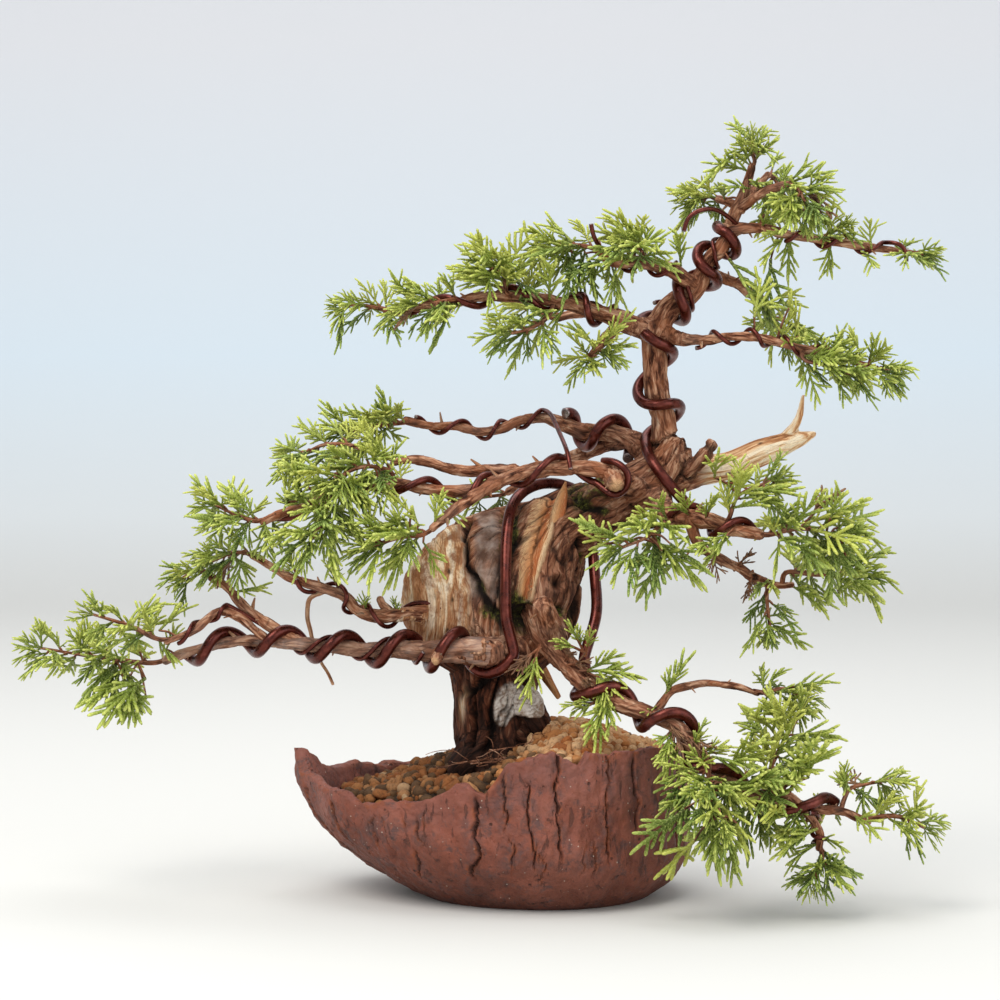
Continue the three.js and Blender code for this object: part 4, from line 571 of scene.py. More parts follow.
def clay_material():
    """Unglazed iron-brown clay: purple sheen above, a foot darkened by painted shade, rusty torn edges,
    slate smears, pits and cracks darkened by painted shade, and white grains."""
    s = Shader("clay")
    place = s.place()
    height = s.node("SeparateXYZ", {0: place}, 2)
    broad = s.noise(place, 45, 5, 0.6)
    fine = s.noise(place, 420, 6, 0.65)
    colour = s.ramp(broad, [(0.34, (0.125, 0.031, 0.017)), (0.5, (0.222, 0.058, 0.031)),
                            (0.62, (0.262, 0.078, 0.046))])
    violet = s.times(s.grade(height, 0.014, 0.050), s.patches(place, (60, 5, 0.7), 0.36, 0.64))
    colour = s.tint(colour, violet, 0.75, (0.245, 0.095, 0.074))
    # Painted shade: the wall darkens towards its foot, below a ragged line.
    ragged = s.math("ADD", height, s.patches(place, (90, 4, 0.7), 0.3, 0.7, -0.010, 0.010))
    colour = s.blend(s.grade(ragged, 0.026, 0.003, 0, 0.60), colour, (0.078, 0.026, 0.016))
    smear = s.times(s.value("slate"), s.patches(place, (190, 5, 0.7, 0.6), 0.44, 0.56))
    smear = s.math("MAXIMUM", smear, s.patches(place, (95, 6, 0.80, 0.4), 0.53, 0.63))
    colour = s.tint(colour, smear, 0.75, (0.060, 0.042, 0.043))
    drawn = s.node("VectorMath", {0: place, 1: (1.0, 1.0, 0.3)}, operation="MULTIPLY")
    scratch = s.grade(s.noise(drawn, 330, 4, 0.6, 0.5), 0.60, 0.66)
    colour = s.tint(colour, scratch, 0.65, (0.040, 0.016, 0.012))
    colour = s.blend(s.grade(fine, 0.42, 0.72, 0, 0.35), colour, (0.205, 0.078, 0.050))
    rust = s.times(s.value("rust"), s.patches(place, (260, 5, 0.7), 0.40, 0.58))
    rust = s.math("MAXIMUM", rust, s.patches(place, (130, 5, 0.75), 0.64, 0.74, 0, 0.5))
    colour = s.tint(colour, rust, 0.80, (0.300, 0.075, 0.022))
    # Painted shade: the inside of each crack ('deep') darkened almost to black.
    colour = s.tint(colour, s.value("deep"), 0.85, (0.046, 0.014, 0.008))
    specks = s.grade(s.cells(place, 420), 0.13, 0.06)
    rare = s.patches(place, (190, 2), 0.52, 0.60)
    colour = s.tint(colour, s.times(specks, rare), 0.8, (0.60, 0.50, 0.40))
    # Painted shade: small pits darkened almost to black.
    holes = s.times(s.grade(s.cells(place, 230), 0.16, 0.06), s.patches(place, (90, 2), 0.50, 0.56))
    colour = s.tint(colour, holes, 0.8, (0.022, 0.009, 0.007))
    pits = s.math("SUBTRACT", s.grade(s.cells(place, 260), 0.0, 0.20), s.times(holes, 2.0))
    pits = s.math("SUBTRACT", pits, s.times(scratch, 0.8))
    dents = s.noise(place, 150, 4, 0.6, 0.6)
    normal = s.bump(dents, 1.5, 0.8, s.bump(broad, 2.2, 0.8))
    normal = s.bump(pits, 0.40, 0.9, s.bump(fine, 0.60, 1.0, normal))
    return s.finish(colour, s.grade(fine, 0.3, 0.75, 0.50, 0.78), normal, Specular_IOR_Level=0.32)


def grit_material():
    """Fired clay and pumice grains, each with a tone of its own, rough and dusty."""
    s = Shader("grit")
    place = s.place()
    fine = s.noise(place, 900, 6, 0.7)
    broad = s.noise(place, 300, 3, 0.6)
    tone = s.ramp(s.value("tone"), [(0.0, (0.070, 0.040, 0.022)), (0.2, (0.150, 0.078, 0.038)),
                                    (0.38, (0.370, 0.105, 0.026)), (0.6, (0.470, 0.190, 0.062)),
                                    (0.8, (0.580, 0.310, 0.145)), (1.0, (0.720, 0.470, 0.260))])
    colour = s.blend(s.grade(broad, 0.35, 0.7, 0, 0.25), tone, (0.52, 0.25, 0.09))
    colour = s.blend(s.grade(fine, 0.5, 0.32, 0, 0.6), colour, (0.085, 0.040, 0.018))
    # Painted shade: 'dark' takes the body of soil and the lower grains, seen in the gaps between grains,
    # towards black; it also darkens the soil towards the left and in the hollow before the trunk.
    colour = s.blend(s.value("dark"), colour, (0.010, 0.008, 0.006))
    normal = s.bump(fine, 0.40, 1.0, s.bump(broad, 0.8, 0.8))
    return s.finish(colour, 0.92, normal, Specular_IOR_Level=0.2)


def wood_material():
    """Bark in flakes and plates, bleached deadwood with rust streaks, torn heartwood, clefts and moss;
    painted shade darkens clefts, cracks and shaded bark.
    """
    s = Shader("wood")
    place = s.place()
    streak = s.noise(s.vector("fibre", (0.42, 0.42, 0.026)), 1.0, 6, 0.66, 0.5)
    grain = s.noise(s.vector("fibre", (3.2, 3.2, 0.16)), 1.0, 4, 0.6, 0.3)
    flake = s.noise(s.vector("fibre", (0.52, 0.52, 0.13)), 1.0, 5, 0.62, 0.8)
    seams = s.cells(s.vector("fibre", (0.34, 0.34, 0.10)), 1.0, "DISTANCE_TO_EDGE")
    plate = s.grade(seams, 0.0, 0.06)
    fine = s.noise(place, 900, 5, 0.7)
    bark = s.ramp(flake, [(0.35, (0.032, 0.010, 0.005)), (0.44, (0.165, 0.057, 0.029)),
                          (0.52, (0.340, 0.142, 0.075)), (0.60, (0.530, 0.280, 0.165)),
                          (0.72, (0.740, 0.500, 0.350))])
    bark = s.blend(s.patches(place, (70, 4), 0.48, 0.68, 0, 0.30), bark, (0.280, 0.180, 0.135))
    bark = s.blend(s.patches(place, (110, 4), 0.50, 0.66, 0, 0.55), bark, (0.330, 0.110, 0.045))
    bark = s.blend(s.grade(plate, 1.0, 0.0, 0, 0.45), bark, (0.050, 0.020, 0.012))
    grey = s.ramp(s.noise(place, 150, 5, 0.6), [(0.36, (0.110, 0.062, 0.044)),
                                                (0.50, (0.270, 0.190, 0.150)),
                                                (0.62, (0.440, 0.360, 0.310))])
    bark = s.tint(bark, s.value("grey"), 0.8, grey)
    # Painted shade: a much darker bark, blended in low on the trunk, on its right side, on the low right
    # branch and on twigs inside the foliage.
    low = s.ramp(flake, [(0.36, (0.014, 0.005, 0.003)), (0.48, (0.080, 0.024, 0.012)),
                         (0.60, (0.190, 0.062, 0.030)), (0.76, (0.360, 0.190, 0.110))])
    low = s.blend(s.grade(plate, 1.0, 0.0, 0, 0.7), low, (0.014, 0.006, 0.004))
    bark = s.blend(s.value("lower"), bark, low)
    pale = s.ramp(streak, [(0.33, (0.200, 0.075, 0.030)), (0.42, (0.540, 0.235, 0.095)),
                           (0.49, (0.830, 0.540, 0.300)), (0.55, (0.980, 0.800, 0.570)),
                           (0.8, (0.990, 0.890, 0.740))])
    patch = s.times(s.patches(place, (75, 5, 0.65), 0.48, 0.58), s.grade(s.value("stain"), 0.0, 0.2))
    pale = s.tint(pale, patch, 0.9, (0.240, 0.078, 0.026))
    pale = s.blend(s.grade(grain, 0.50, 0.34, 0, 0.45), pale, (0.400, 0.210, 0.105))
    stain = s.times(s.value("stain"), s.grade(streak, 0.66, 0.44))
    rusty = s.ramp(grain, [(0.36, (0.150, 0.050, 0.020)), (0.52, (0.400, 0.160, 0.065)),
                           (0.66, (0.560, 0.330, 0.180))])
    pale = s.tint(pale, stain, 0.95, rusty)
    knots = s.grade(s.cells(s.vector("fibre", (0.16, 0.16, 0.09)), 1.0), 0.13, 0.05)
    pale = s.tint(pale, knots, 0.9, (0.070, 0.035, 0.020))
    ragged = s.math("ADD", s.value("across"), s.grade(grain, 0.3, 0.7, -0.16, 0.16))
    torn = s.ramp(ragged, [(0.0, (0.420, 0.225, 0.115)), (0.22, (0.640, 0.400, 0.210)),
                           (0.45, (0.560, 0.240, 0.090)), (0.62, (0.430, 0.115, 0.038)),
                           (0.77, (0.560, 0.250, 0.100)), (0.86, (0.820, 0.610, 0.370)),
                           (1.0, (0.420, 0.240, 0.130))])
    torn = s.blend(s.grade(grain, 0.50, 0.34, 0, 0.75), torn, (0.270, 0.080, 0.030))
    torn = s.blend(s.grade(grain, 0.56, 0.70, 0, 0.65), torn, (0.840, 0.600, 0.330))
    whorl = s.ramp(s.math("ADD", s.value("ring"), s.patches(place, (260, 5, 0.7), 0.3, 0.7, -0.6, 0.6)),
                   [(0.0, (0.330, 0.255, 0.205)), (0.4, (0.600, 0.510, 0.435)),
                    (1.0, (0.760, 0.690, 0.620))])
    whorl = s.blend(s.patches(place, (120, 5, 0.7), 0.52, 0.62, 0, 0.85), whorl, (0.260, 0.150, 0.085))
    colour = s.blend(s.value("bleach"), bark, pale)
    colour = s.blend(s.value("whorl"), colour, whorl)
    colour = s.blend(s.value("torn"), colour, torn)
    green = s.ramp(s.noise(place, 650, 3, 0.7), [(0.40, (0.014, 0.011, 0.006)),
                                                (0.54, (0.080, 0.082, 0.016)),
                                                (0.66, (0.260, 0.250, 0.050))])
    moss = s.times(s.value("moss"), s.patches(place, (240, 4, 0.7), 0.42, 0.58))
    # Painted shade: 'dark' takes clefts, folds between branches, the knot hole, bark cracks and the trunk's
    # foot towards black; the hair roots are darkened a little too.
    colour = s.blend(s.value("dark"), colour, (0.014, 0.009, 0.007))
    colour = s.blend(moss, colour, green)
    relief = s.math("ADD", flake, s.math("ADD", s.times(grain, 0.5), s.times(plate, 0.35)))
    relief = s.times(relief, s.grade(s.value("grey"), 0, 1, 1, 0.3))
    normal = s.bump(fine, 0.18, 0.7, s.bump(relief, 0.8, 0.8))
    return s.finish(colour, s.grade(flake, 0.3, 0.7, 0.92, 0.70), normal, Specular_IOR_Level=0.15)


def wire_material():
    """Brown anodised aluminium, satin, with faint drawing lines and scuffs."""
    s = Shader("wire")
    place = s.place()
    scuff = s.noise(place, 320, 5, 0.65)
    lines = s.noise(s.vector("fibre", (3.0, 3.0, 0.05)), 1.0, 3)
    colour = s.ramp(scuff, [(0.34, (0.060, 0.010, 0.006)), (0.55, (0.112, 0.018, 0.010)),
                            (0.74, (0.200, 0.050, 0.034))])
    colour = s.blend(s.value("bare"), colour, (0.50, 0.47, 0.45))
    normal = s.bump(lines, 0.04, 0.5, s.bump(scuff, 0.12, 0.4))
    return s.finish(colour, s.grade(scuff, 0.3, 0.75, 0.22, 0.40), normal, Metallic=0.8,
                    Coat_Weight=0.16, Coat_Roughness=0.15)


def leaf_material():
    """Cords of scale leaves: green and darker inside the pads, partly by painted shade, yellow-green at the
    tips, some dead and brown; sprigs that point down get painted shade and those that point up painted
    light.
    """
    s = Shader("leaf")
    place = s.place()
    tip = s.value("tip")
    tone = s.value("tone")
    # The cords darken towards their bases: partly their own colour, partly painted shade inside the pads.
    colour = s.ramp(tip, [(0.0, (0.100, 0.105, 0.014)), (0.30, (0.148, 0.200, 0.021)),
                          (0.75, (0.290, 0.350, 0.040)), (1.0, (0.680, 0.710, 0.165))])
    # Painted shade: a dark green for sprigs whose tone is low, mostly those that point down, on top of a
    # random tone.
    deep = s.ramp(tip, [(0.0, (0.024, 0.042, 0.006)), (0.7, (0.080, 0.140, 0.018)),
                        (1.0, (0.290, 0.390, 0.075))])
    colour = s.blend(s.grade(tone, 0.50, 0.08, 0, 0.95), colour, deep)
    # Painted light: a light yellow-green for sprigs whose tone is high, mostly those that point up.
    colour = s.blend(s.grade(tone, 0.66, 1.0, 0, 0.6), colour, (0.600, 0.590, 0.100))
    wave = s.math("SINE", s.value("scale"))
    edge = s.grade(wave, 0.45, 1.0)
    colour = s.tint(colour, edge, 0.40, (0.590, 0.650, 0.210))
    colour = s.blend(s.patches(place, (500, 3), 0.48, 0.72, 0, 0.25), colour, (0.100, 0.165, 0.026))
    brown = s.ramp(s.noise(place, 300, 3), [(0.35, (0.120, 0.055, 0.030)), (0.65, (0.330, 0.170, 0.085))])
    colour = s.blend(s.value("dead"), colour, brown)
    return s.finish(colour, 0.48, s.bump(wave, 0.12, 0.7), Specular_IOR_Level=0.28)


def mesh_material():
    """Black moulded plastic of the drain mesh."""
    s = Shader("drainMesh")
    fine = s.noise(s.place(), 1500, 3)
    colour = s.ramp(fine, [(0.35, (0.012, 0.012, 0.013)), (0.7, (0.035, 0.035, 0.037))])
    return s.finish(colour, s.grade(fine, 0.3, 0.7, 0.5, 0.72), s.bump(fine, 0.05, 0.5))


def floor_material():
    """A plain pale paper sweep, warmer at the foot."""
    s = Shader("paper")
    height = s.node("SeparateXYZ", {0: s.place()}, 2)
    colour = s.ramp(s.grade(height, 0.0, 0.9), [(0.0, (0.655, 0.636, 0.598)), (0.06, (0.715, 0.725, 0.715)),
                                                (0.21, (0.716, 0.784, 0.826)),
                                                (0.56, (0.810, 0.795, 0.800))])
    fine = s.noise(s.place(), 30, 2)
    return s.finish(colour, 0.9, s.bump(fine, 0.05, 0.2), Specular_IOR_Level=0.1)


# ---------------------------------------------------------------- the bowl
def closed(rows, foot, head):
    """A skin over rings of points, closed by a point at each end: its points, quads and triangles."""
    quads, foot_fan, head_fan = ring_faces(len(rows), len(rows[0]))
    return np.vstack([*rows, [foot, head]]), quads, np.vstack([foot_fan, head_fan])


def padded(rows):
    """Values of all rings, with a nought for each end point."""
    return np.concatenate([*rows, [0, 0]])


def rim_height(degrees):
    """How high the torn rim stands at an angle."""
    angles, heights = zip(*RIM)
    return np.interp(np.mod(degrees, 360), angles, heights)


def bowl_point(degrees, height, inset, horn=True):
    """A point of the bowl's wall at an angle and a height, as far inside the outer face as inset says."""
    angle = np.radians(degrees)
    c, s = np.cos(angle), np.sin(angle)
    away = (degrees - HORN_ANGLE) / HORN_WIDTH
    pull = 1 + (HORN_REACH * np.exp(-away * away) if horn else 0)
    x = pull * c * np.where(c > 0, REACH_RIGHT, REACH_LEFT)
    y = pull * s * np.where(s > 0, REACH_BACK, REACH_FRONT)
    left = (1 - c) / 2
    full = 18 + 27 * left * left
    lack = 0.22 + 0.3 * left * left
    swell = 1 - lack * np.clip(1 - height / full, 0, 1) ** (2 + 0.24 * left)
    share = swell * (1 - inset / (np.hypot(x, y) * swell))
    return np.column_stack([x * share, y * share, np.broadcast_to(height, np.shape(x))])


def inner_point(degrees, height, inset):
    """A point of the inner wall, which runs straight from level to level and on to the rim."""
    rows = [bowl_point(degrees, level, inset, False) for level in INNER_LEVELS]
    rows.append(bowl_point(degrees, rim_height(degrees) - 0.7, inset))
    result = rows[0].copy()
    for low, high in zip(rows, rows[1:]):
        share = np.clip((height - low[:, 2]) / (high[:, 2] - low[:, 2]), 0, None)[:, None]
        above = (height >= low[:, 2])[:, None]
        result = np.where(above, low + (high - low) * share, result)
    return result


def cracks_at(degrees, share, base):
    """For points of the wall: how deep a crack is there, how near its torn edge, which lip stands out
    and how near any crack runs."""
    depth, edge, lip, near = np.zeros((4, len(degrees)))
    reach = np.hypot(base[:, 0], base[:, 1]) * np.pi / 180
    for index, (foot, head, low, high, width) in enumerate(CRACKS):
        height = share * 50
        bends = [field([[11.7 * index, 0, height]], scale)[0] for scale in (8, 2.6, 0.9)]
        away = ((degrees - foot - (head - foot) * (share - low) / (high - low) + 180) % 360 - 180) * reach
        away = away - 1.3 * bends[0] - 0.8 * bends[1] - 0.35 * bends[2]
        open_here = smooth(share, low - 0.05, low + 0.07) * smooth(-share, -high - 0.04, -high + 0.05)
        ragged = width * (0.62 + 0.42 * field([[height, 5.3 * index, 0]], 3.1)[0])
        here = np.exp(-(away / ragged) ** 2) * open_here
        depth = np.maximum(depth, here * width)
        edge = np.maximum(edge, np.exp(-np.abs(np.abs(away) - 1.3 * ragged) / 0.40) * open_here)
        lip += np.sign(away) * np.exp(-np.abs(away) / 2.2) * open_here * width * (1 if index % 2 else -1)
        near = np.maximum(near, np.exp(-(away / 3.2) ** 2) * open_here)
    return depth, edge, lip, near


def make_bowl():
    """The torn, uneven bowl: a few ragged cracks part its wall in broad slabs."""
    hidden, seen = np.linspace(-20, 200, 350, endpoint=False), np.linspace(200, 340, 600, endpoint=False)
    degrees = np.concatenate([hidden, seen])
    stations = len(degrees)
    rim = rim_height(degrees) + 0.8 * rough(np.column_stack([degrees, 0 * degrees, 0 * degrees]), 4.1, 5, 2)
    shares = np.concatenate([[0, 0.012, 0.03], np.linspace(0.055, 0.985, 66), [1]])
    rows, rust, deep, slate = [], [], [], []

    def ring(points, red=0.0, dark=0.0, grey=0.0):
        rows.append(points)
        for value, store in ((red, rust), (dark, deep), (grey, slate)):
            store.append(value + np.zeros(stations))

    for share in (0.1, 0.4, 0.7, 0.93):
        ring(bowl_point(degrees, 0 * rim, 0 * rim) * [share, share, 0])
    for share in shares:
        height = rim * share
        base = bowl_point(degrees, height, 0 * degrees)
        depth, edge, lip, near = cracks_at(degrees, share, base)
        out = field(base, (11, 11, 26), 21) + 0.90 * rough(base, (5, 5, 11), 22, 2)
        low = smooth(-share, -0.34, -0.08)
        out += 0.36 * rough(base, 2.4, 31, 2) + 0.60 * low * rough(base, (4, 4, 3), 24, 2)
        out += 1.2 * lip - 3.2 * depth
        out *= smooth(share, 0.0, 0.05)
        points = bowl_point(degrees, height, -out)
        points[:, 2] = height - (share == 1) * 1.5 * depth
        torn = smooth(share, 0.93, 1.0) * smooth(field(base, (6, 6, 9), 27), -0.1, 0.35)
        # The third value is painted shade inside the cracks.
        ring(points, np.clip(edge + torn, 0, 1), 0.90 * smooth(depth, 0.16, 0.42), near)
    for inset, lift in ((0.35, -0.06), (0.5, 0.18), (0.75, 0.0), (1.0, -0.6)):
        points = bowl_point(degrees, rim, WALL * inset + 0.35 * rough(rows[-1], 4, 41, 2))
        points[:, 2] = rim + lift + 0.5 * rough(points, 3.3, 42, 2)
        ring(points, 0.45 * smooth(field(points, 7, 28), -0.2, 0.4))
    for level in np.concatenate([np.linspace(0.97, 0.05, 16), [0.0]]):
        points = inner_point(degrees, FLOOR + (rim - 1.5 - FLOOR) * level, WALL)
        points[:, :2] *= (1 - 0.006 * rough(points, 8, 51, 2))[:, None]
        ring(points)
    for share in (0.8, 0.55, 0.3, 0.1):
        ring(rows[-1] * [share, share, 1])
    heap = Heap()
    skin = closed(rows, (0, 0, 0), (0, 0, FLOOR))
    heap.add(*skin, rust=padded(rust), deep=padded(deep), slate=padded(slate))
    bowl = heap.piece("bowlClay", clay_material(), "clay", ["bowl"])
    for way in (-1, 1):
        cut_hole(bowl, way * DRAIN_OFFSET)


def cut_hole(bowl, x):
    """A drain hole through the bowl's floor."""
    heap = Heap()
    post = np.array([[x, 0, z, DRAIN_RADIUS] for z in (-3.0, 0.0, 4.0, 8.0, 11.0)])
    body, _ = tube(post, 48, blunt=0.1)
    heap.add(**body)
    cutter = heap.piece("drillTemporary", bowl.data.materials[0], "clay")
    hole = bowl.modifiers.new("hole", "BOOLEAN")
    hole.operation, hole.object, hole.solver = "DIFFERENCE", cutter, "EXACT"
    applied(bowl)
    bpy.data.objects.remove(cutter)


# ---------------------------------------------------------------- the soil
SOIL_LEFT, SOIL_CLIMB, SOIL_CROWN = 36, 16, 6  # height at the left, climb to the right, rise inwards
SOIL_OUTLINE = 34  # the level whose outline the soil's surface follows
BED = 2.3  # how far the body of soil lies below its surface of grains


def ground_level(x, y, edge, rim):
    """The surface climbs from the bowl's low left side to a heap at the right of the trunk, and falls
    to the rim; edge is 0 in the middle and 1 at the wall."""
    climb = SOIL_CLIMB * smooth(x, -65, 20)
    fall = 0.06 * np.maximum(0, x - 20)
    dip = 7 * np.exp(-((x + 16) ** 2 + (y + 22) ** 2) / 180)
    heap = 3.5 * np.exp(-(x - 16) ** 2 / 300 - (y + 6) ** 2 / 500)
    level = SOIL_LEFT + climb + heap + SOIL_CROWN * (1 - edge * edge) - fall - dip
    return np.minimum(level, rim - 3.2 + 55 * (1 - edge))


def grain_ball():
    """The corners and faces of a small round grain."""
    ball = bmesh.new()
    bmesh.ops.create_icosphere(ball, subdivisions=2, radius=1)
    points = np.array([v.co[:] for v in ball.verts])
    tris = np.array([[v.index for v in f.verts] for f in ball.faces])
    ball.free()
    return points, tris


def make_soil():
    """A body of soil darkened by painted shade, seen in the gaps, with loose grains of fired clay on it,
    black and fine before the trunk.
    """
    random = np.random.default_rng(7)
    inset = WALL + 2 * GAP
    degrees = np.arange(240) * 1.5
    rim = rim_height(degrees)
    x, y, _ = inner_point(degrees, SOIL_OUTLINE, inset).T
    rows = [inner_point(degrees, level, inset) for level in (FLOOR + GAP, *INNER_LEVELS[1:])]
    rows.append(inner_point(degrees, ground_level(x, y, 1, rim) - 1.5, inset))
    for edge in np.linspace(0.97, 0.04, 22):
        level = ground_level(x * edge, y * edge, edge, rim) - BED
        rows.append(np.column_stack([x * edge, y * edge, level]))
    heap = Heap()
    top = ground_level(0, 0, 0, 60) - BED
    # The body of soil under the grains gets painted shade.
    heap.add(*closed(rows, (0, 0, FLOOR + GAP), (0, 0, top)), tone=0.0, dark=0.75)
    ball, faces = grain_ball()
    trunk = np.array([(-10, 0), (-16, -8), (-4, -6)])  # no grain lies within 11 mm of these places
    for layer, (total, low, high, lift) in enumerate([(800, 1.0, 1.6, -1.6), (900, 1.6, 2.9, -0.4)]):
        for i in range(total):
            share = math.sqrt((i + 0.5) / total) * 0.985
            angle = np.array([(i + 0.5 * layer) * GOLDEN_DEGREES % 360])
            size = low + (high - low) * random.random() ** 1.6
            rim_here = inner_point(angle, SOIL_OUTLINE, inset + size * 0.8)[0]
            x, y = rim_here[:2] * share + random.normal(0, 0.6, 2) * (1 - share)
            if min(np.hypot(*(trunk - [x, y]).T)) < 11:
                continue
            # Darker towards the left and in the hollow before the trunk; the lower layer of grains gets
            # painted shade.
            hollow_dark = 0.95 * math.exp(-((x + 12) ** 2 / 170 + (y + 26) ** 2 / 130))
            shade = max(hollow_dark, 0.42 * smooth(-x, 5, 30), 0.45 * (layer == 0))
            level = ground_level(x, y, share, rim_height(angle)[0]) + lift
            level = level + random.uniform(-0.8, 0.8) - 0.3 * size
            turn = np.linalg.qr(random.normal(size=(3, 3)))[0]
            shape = ball * random.uniform([0.80, 0.72, 0.58], [1.3, 1.1, 0.92])
            lumps = 1 + 0.34 * field(shape + 10 * i, 0.9, 3) + 0.14 * field(shape + 10 * i, 0.4, 4)
            shape = shape * lumps[:, None]
            shares = [0.36, 0.30, 0.29, 0.05] if x < -3 else [0.04, 0.10, 0.36, 0.50]
            tone = random.choice([0.10, 0.42, 0.62, 0.90], p=shares) + random.uniform(-0.1, 0.1)
            heap.add(shape @ turn.T * size + [x, y, level], tris=faces, tone=float(tone), dark=float(shade))
    heap.piece("grit", grit_material(), "soil", ["soil"])


# ---------------------------------------------------------------- the wood
TRUNK = ["trunkFoot", "trunkLeft", "trunkFront", "trunkMiddle", "trunkUpper", "rootLeft", "rootRight",
         "rootBack", "burl", "jin", "jinFork", "jinStub"]
COLLARS = ["lowLeft", "secondLeft", "midLeft", "highLeft", "highLeftBack", "midRight", "lowRight",
           "topLeft", "topLeftBack", "topRight"]
CUT_STUBS = ["lowLeftStub", "midLeftStub"]
TORN_STRIPS = {"tornRidge": (0.42, 3), "tornStrip": (0.5, 4)}  # how flat each one is, and its seed
VOXEL = 0.66  # the grid on which the thick wood grows together

# Features of the trunk's front, each a line of x, z and half width.
CLEFTS = [
    [(-3, 146, 1.4), (-5, 136, 2.8), (-6, 124, 3.8), (-7, 112, 4.4), (-5, 103, 5.2), (3, 98, 5.0),
        (12, 101, 2.6)],
    [(-21, 126, 0.8), (-20, 117, 1.4), (-17, 109, 2.2), (-13, 102, 3.0), (-8, 98, 3.6)],
    [(-19, 134, 0.6), (-22, 126, 0.9)],
    [(17, 98, 1.2), (20, 106, 1.6), (21, 116, 1.4), (19, 126, 0.8)],
    [(14, 146, 1.0), (20, 139, 2.6), (27, 136, 2.2)],
    [(-20, 71, 1.0), (-15, 75.5, 2.0), (-10, 79, 2.2), (-5, 79.5, 2.0), (3, 76, 1.4)],
    [(-9, 77, 0.8), (-12.2, 67, 1.0), (-12, 58, 1.2), (-13, 52, 1.4)],
    [(-18, 74, 0.5), (-18.5, 64, 0.8), (-19, 54, 1.0)],
]
TORN = [(0, 106, 2.4), (0.9, 113, 3.3), (2.3, 120, 4.2), (4.2, 128, 5.1), (6.9, 136.5, 4.5), (10, 142, 2.6),
        (12.5, 145.5, 1.6)]
WHORL = [(-8.5, 63, 3.2), (-6.5, 68, 4.6), (-2, 70, 5.6), (2.5, 67, 4.2)]
WHORL_MIDDLE = (-2.1, 69.5)
KNOT = (11, 111, 3.2)  # the knot hole's x, z and radius


def near_line(x, z, rows):
    """How far points lie from a feature's line, in half widths, and signed to its right side."""
    fine = spline([(a, 0, b, w) for a, b, w in rows], np.linspace(0, 1, 60))
    best = np.full(len(x), 1e9)
    signed = np.zeros(len(x))
    for (ax, _, az, aw), (bx, _, bz, bw) in zip(fine, fine[1:]):
        dx, dz = bx - ax, bz - az
        share = np.clip(((x - ax) * dx + (z - az) * dz) / max(dx * dx + dz * dz, 1e-9), 0, 1)
        ox, oz = x - ax - share * dx, z - az - share * dz
        away = np.hypot(ox, oz) / (aw + (bw - aw) * share)
        closer = away < best
        best = np.where(closer, away, best)
        signed = np.where(closer, np.sign(ox * dz - oz * dx) * away, signed)
    return best, signed


def wood_frame(points, names):
    """For each point the nearest branch: its fibre coordinates and how near the next branch is."""
    count = len(points)
    best = np.full(count, 1e9)
    second = np.full(count, 1e9)
    fibre = np.zeros((count, 3))
    owner = np.zeros(count, int)
    for index, name in enumerate(names):
        line = evenly(WOOD[name], 1.5)
        along, side, up = carried(line)
        place = lengths(line)
        nearest = np.zeros(count, int)
        least = np.full(count, 1e9)
        for k, row in enumerate(line):
            gap = np.linalg.norm(points - row[:3], axis=1) - row[3]
            closer = gap < least
            least = np.where(closer, gap, least)
            nearest = np.where(closer, k, nearest)
        off = points - line[nearest, :3]
        local = np.column_stack([(off * side[nearest]).sum(1), (off * up[nearest]).sum(1),
                                 place[nearest] + (off * along[nearest]).sum(1) + 37 * index])
        closer = least < best
        second = np.where(closer, best, np.minimum(second, least))
        fibre = np.where(closer[:, None], local, fibre)
        owner = np.where(closer, index, owner)
        best = np.where(closer, least, best)
    return fibre, owner, second - best


def read_rows(mesh, key):
    """The places or the normals of a mesh's vertices, one row each."""
    rows = np.zeros(len(mesh.vertices) * 3)
    mesh.vertices.foreach_get(key, rows)
    return rows.reshape(-1, 3)


def merged_wood():
    """The thick wood as one skin, from overlapping tubes."""
    heap = Heap()
    for name in TRUNK:
        body, _ = tube(evenly(WOOD[name], 2.0), 28)
        heap.add(**body)
    for name in COLLARS:
        line = evenly(WOOD[name], 1.5)[:14]
        line[:, 3] *= np.linspace(1.35, 0.80, len(line))
        body, _ = tube(line, 20)
        heap.add(**body)
    points = np.vstack(heap.points) * MM
    mesh = bpy.data.meshes.new("mergedWood")
    mesh.from_pydata(points.tolist(), [], np.vstack(heap.quads).tolist() + np.vstack(heap.tris).tolist())
    piece = bpy.data.objects.new("trunkWood", mesh)
    bpy.context.scene.collection.objects.link(piece)
    skin = piece.modifiers.new("skin", "REMESH")
    skin.mode, skin.voxel_size = "VOXEL", VOXEL * MM
    soften = piece.modifiers.new("soften", "SMOOTH")
    soften.factor, soften.iterations = 0.5, 9
    applied(piece)
    bpy.context.scene.collection.objects.unlink(piece)
    return piece


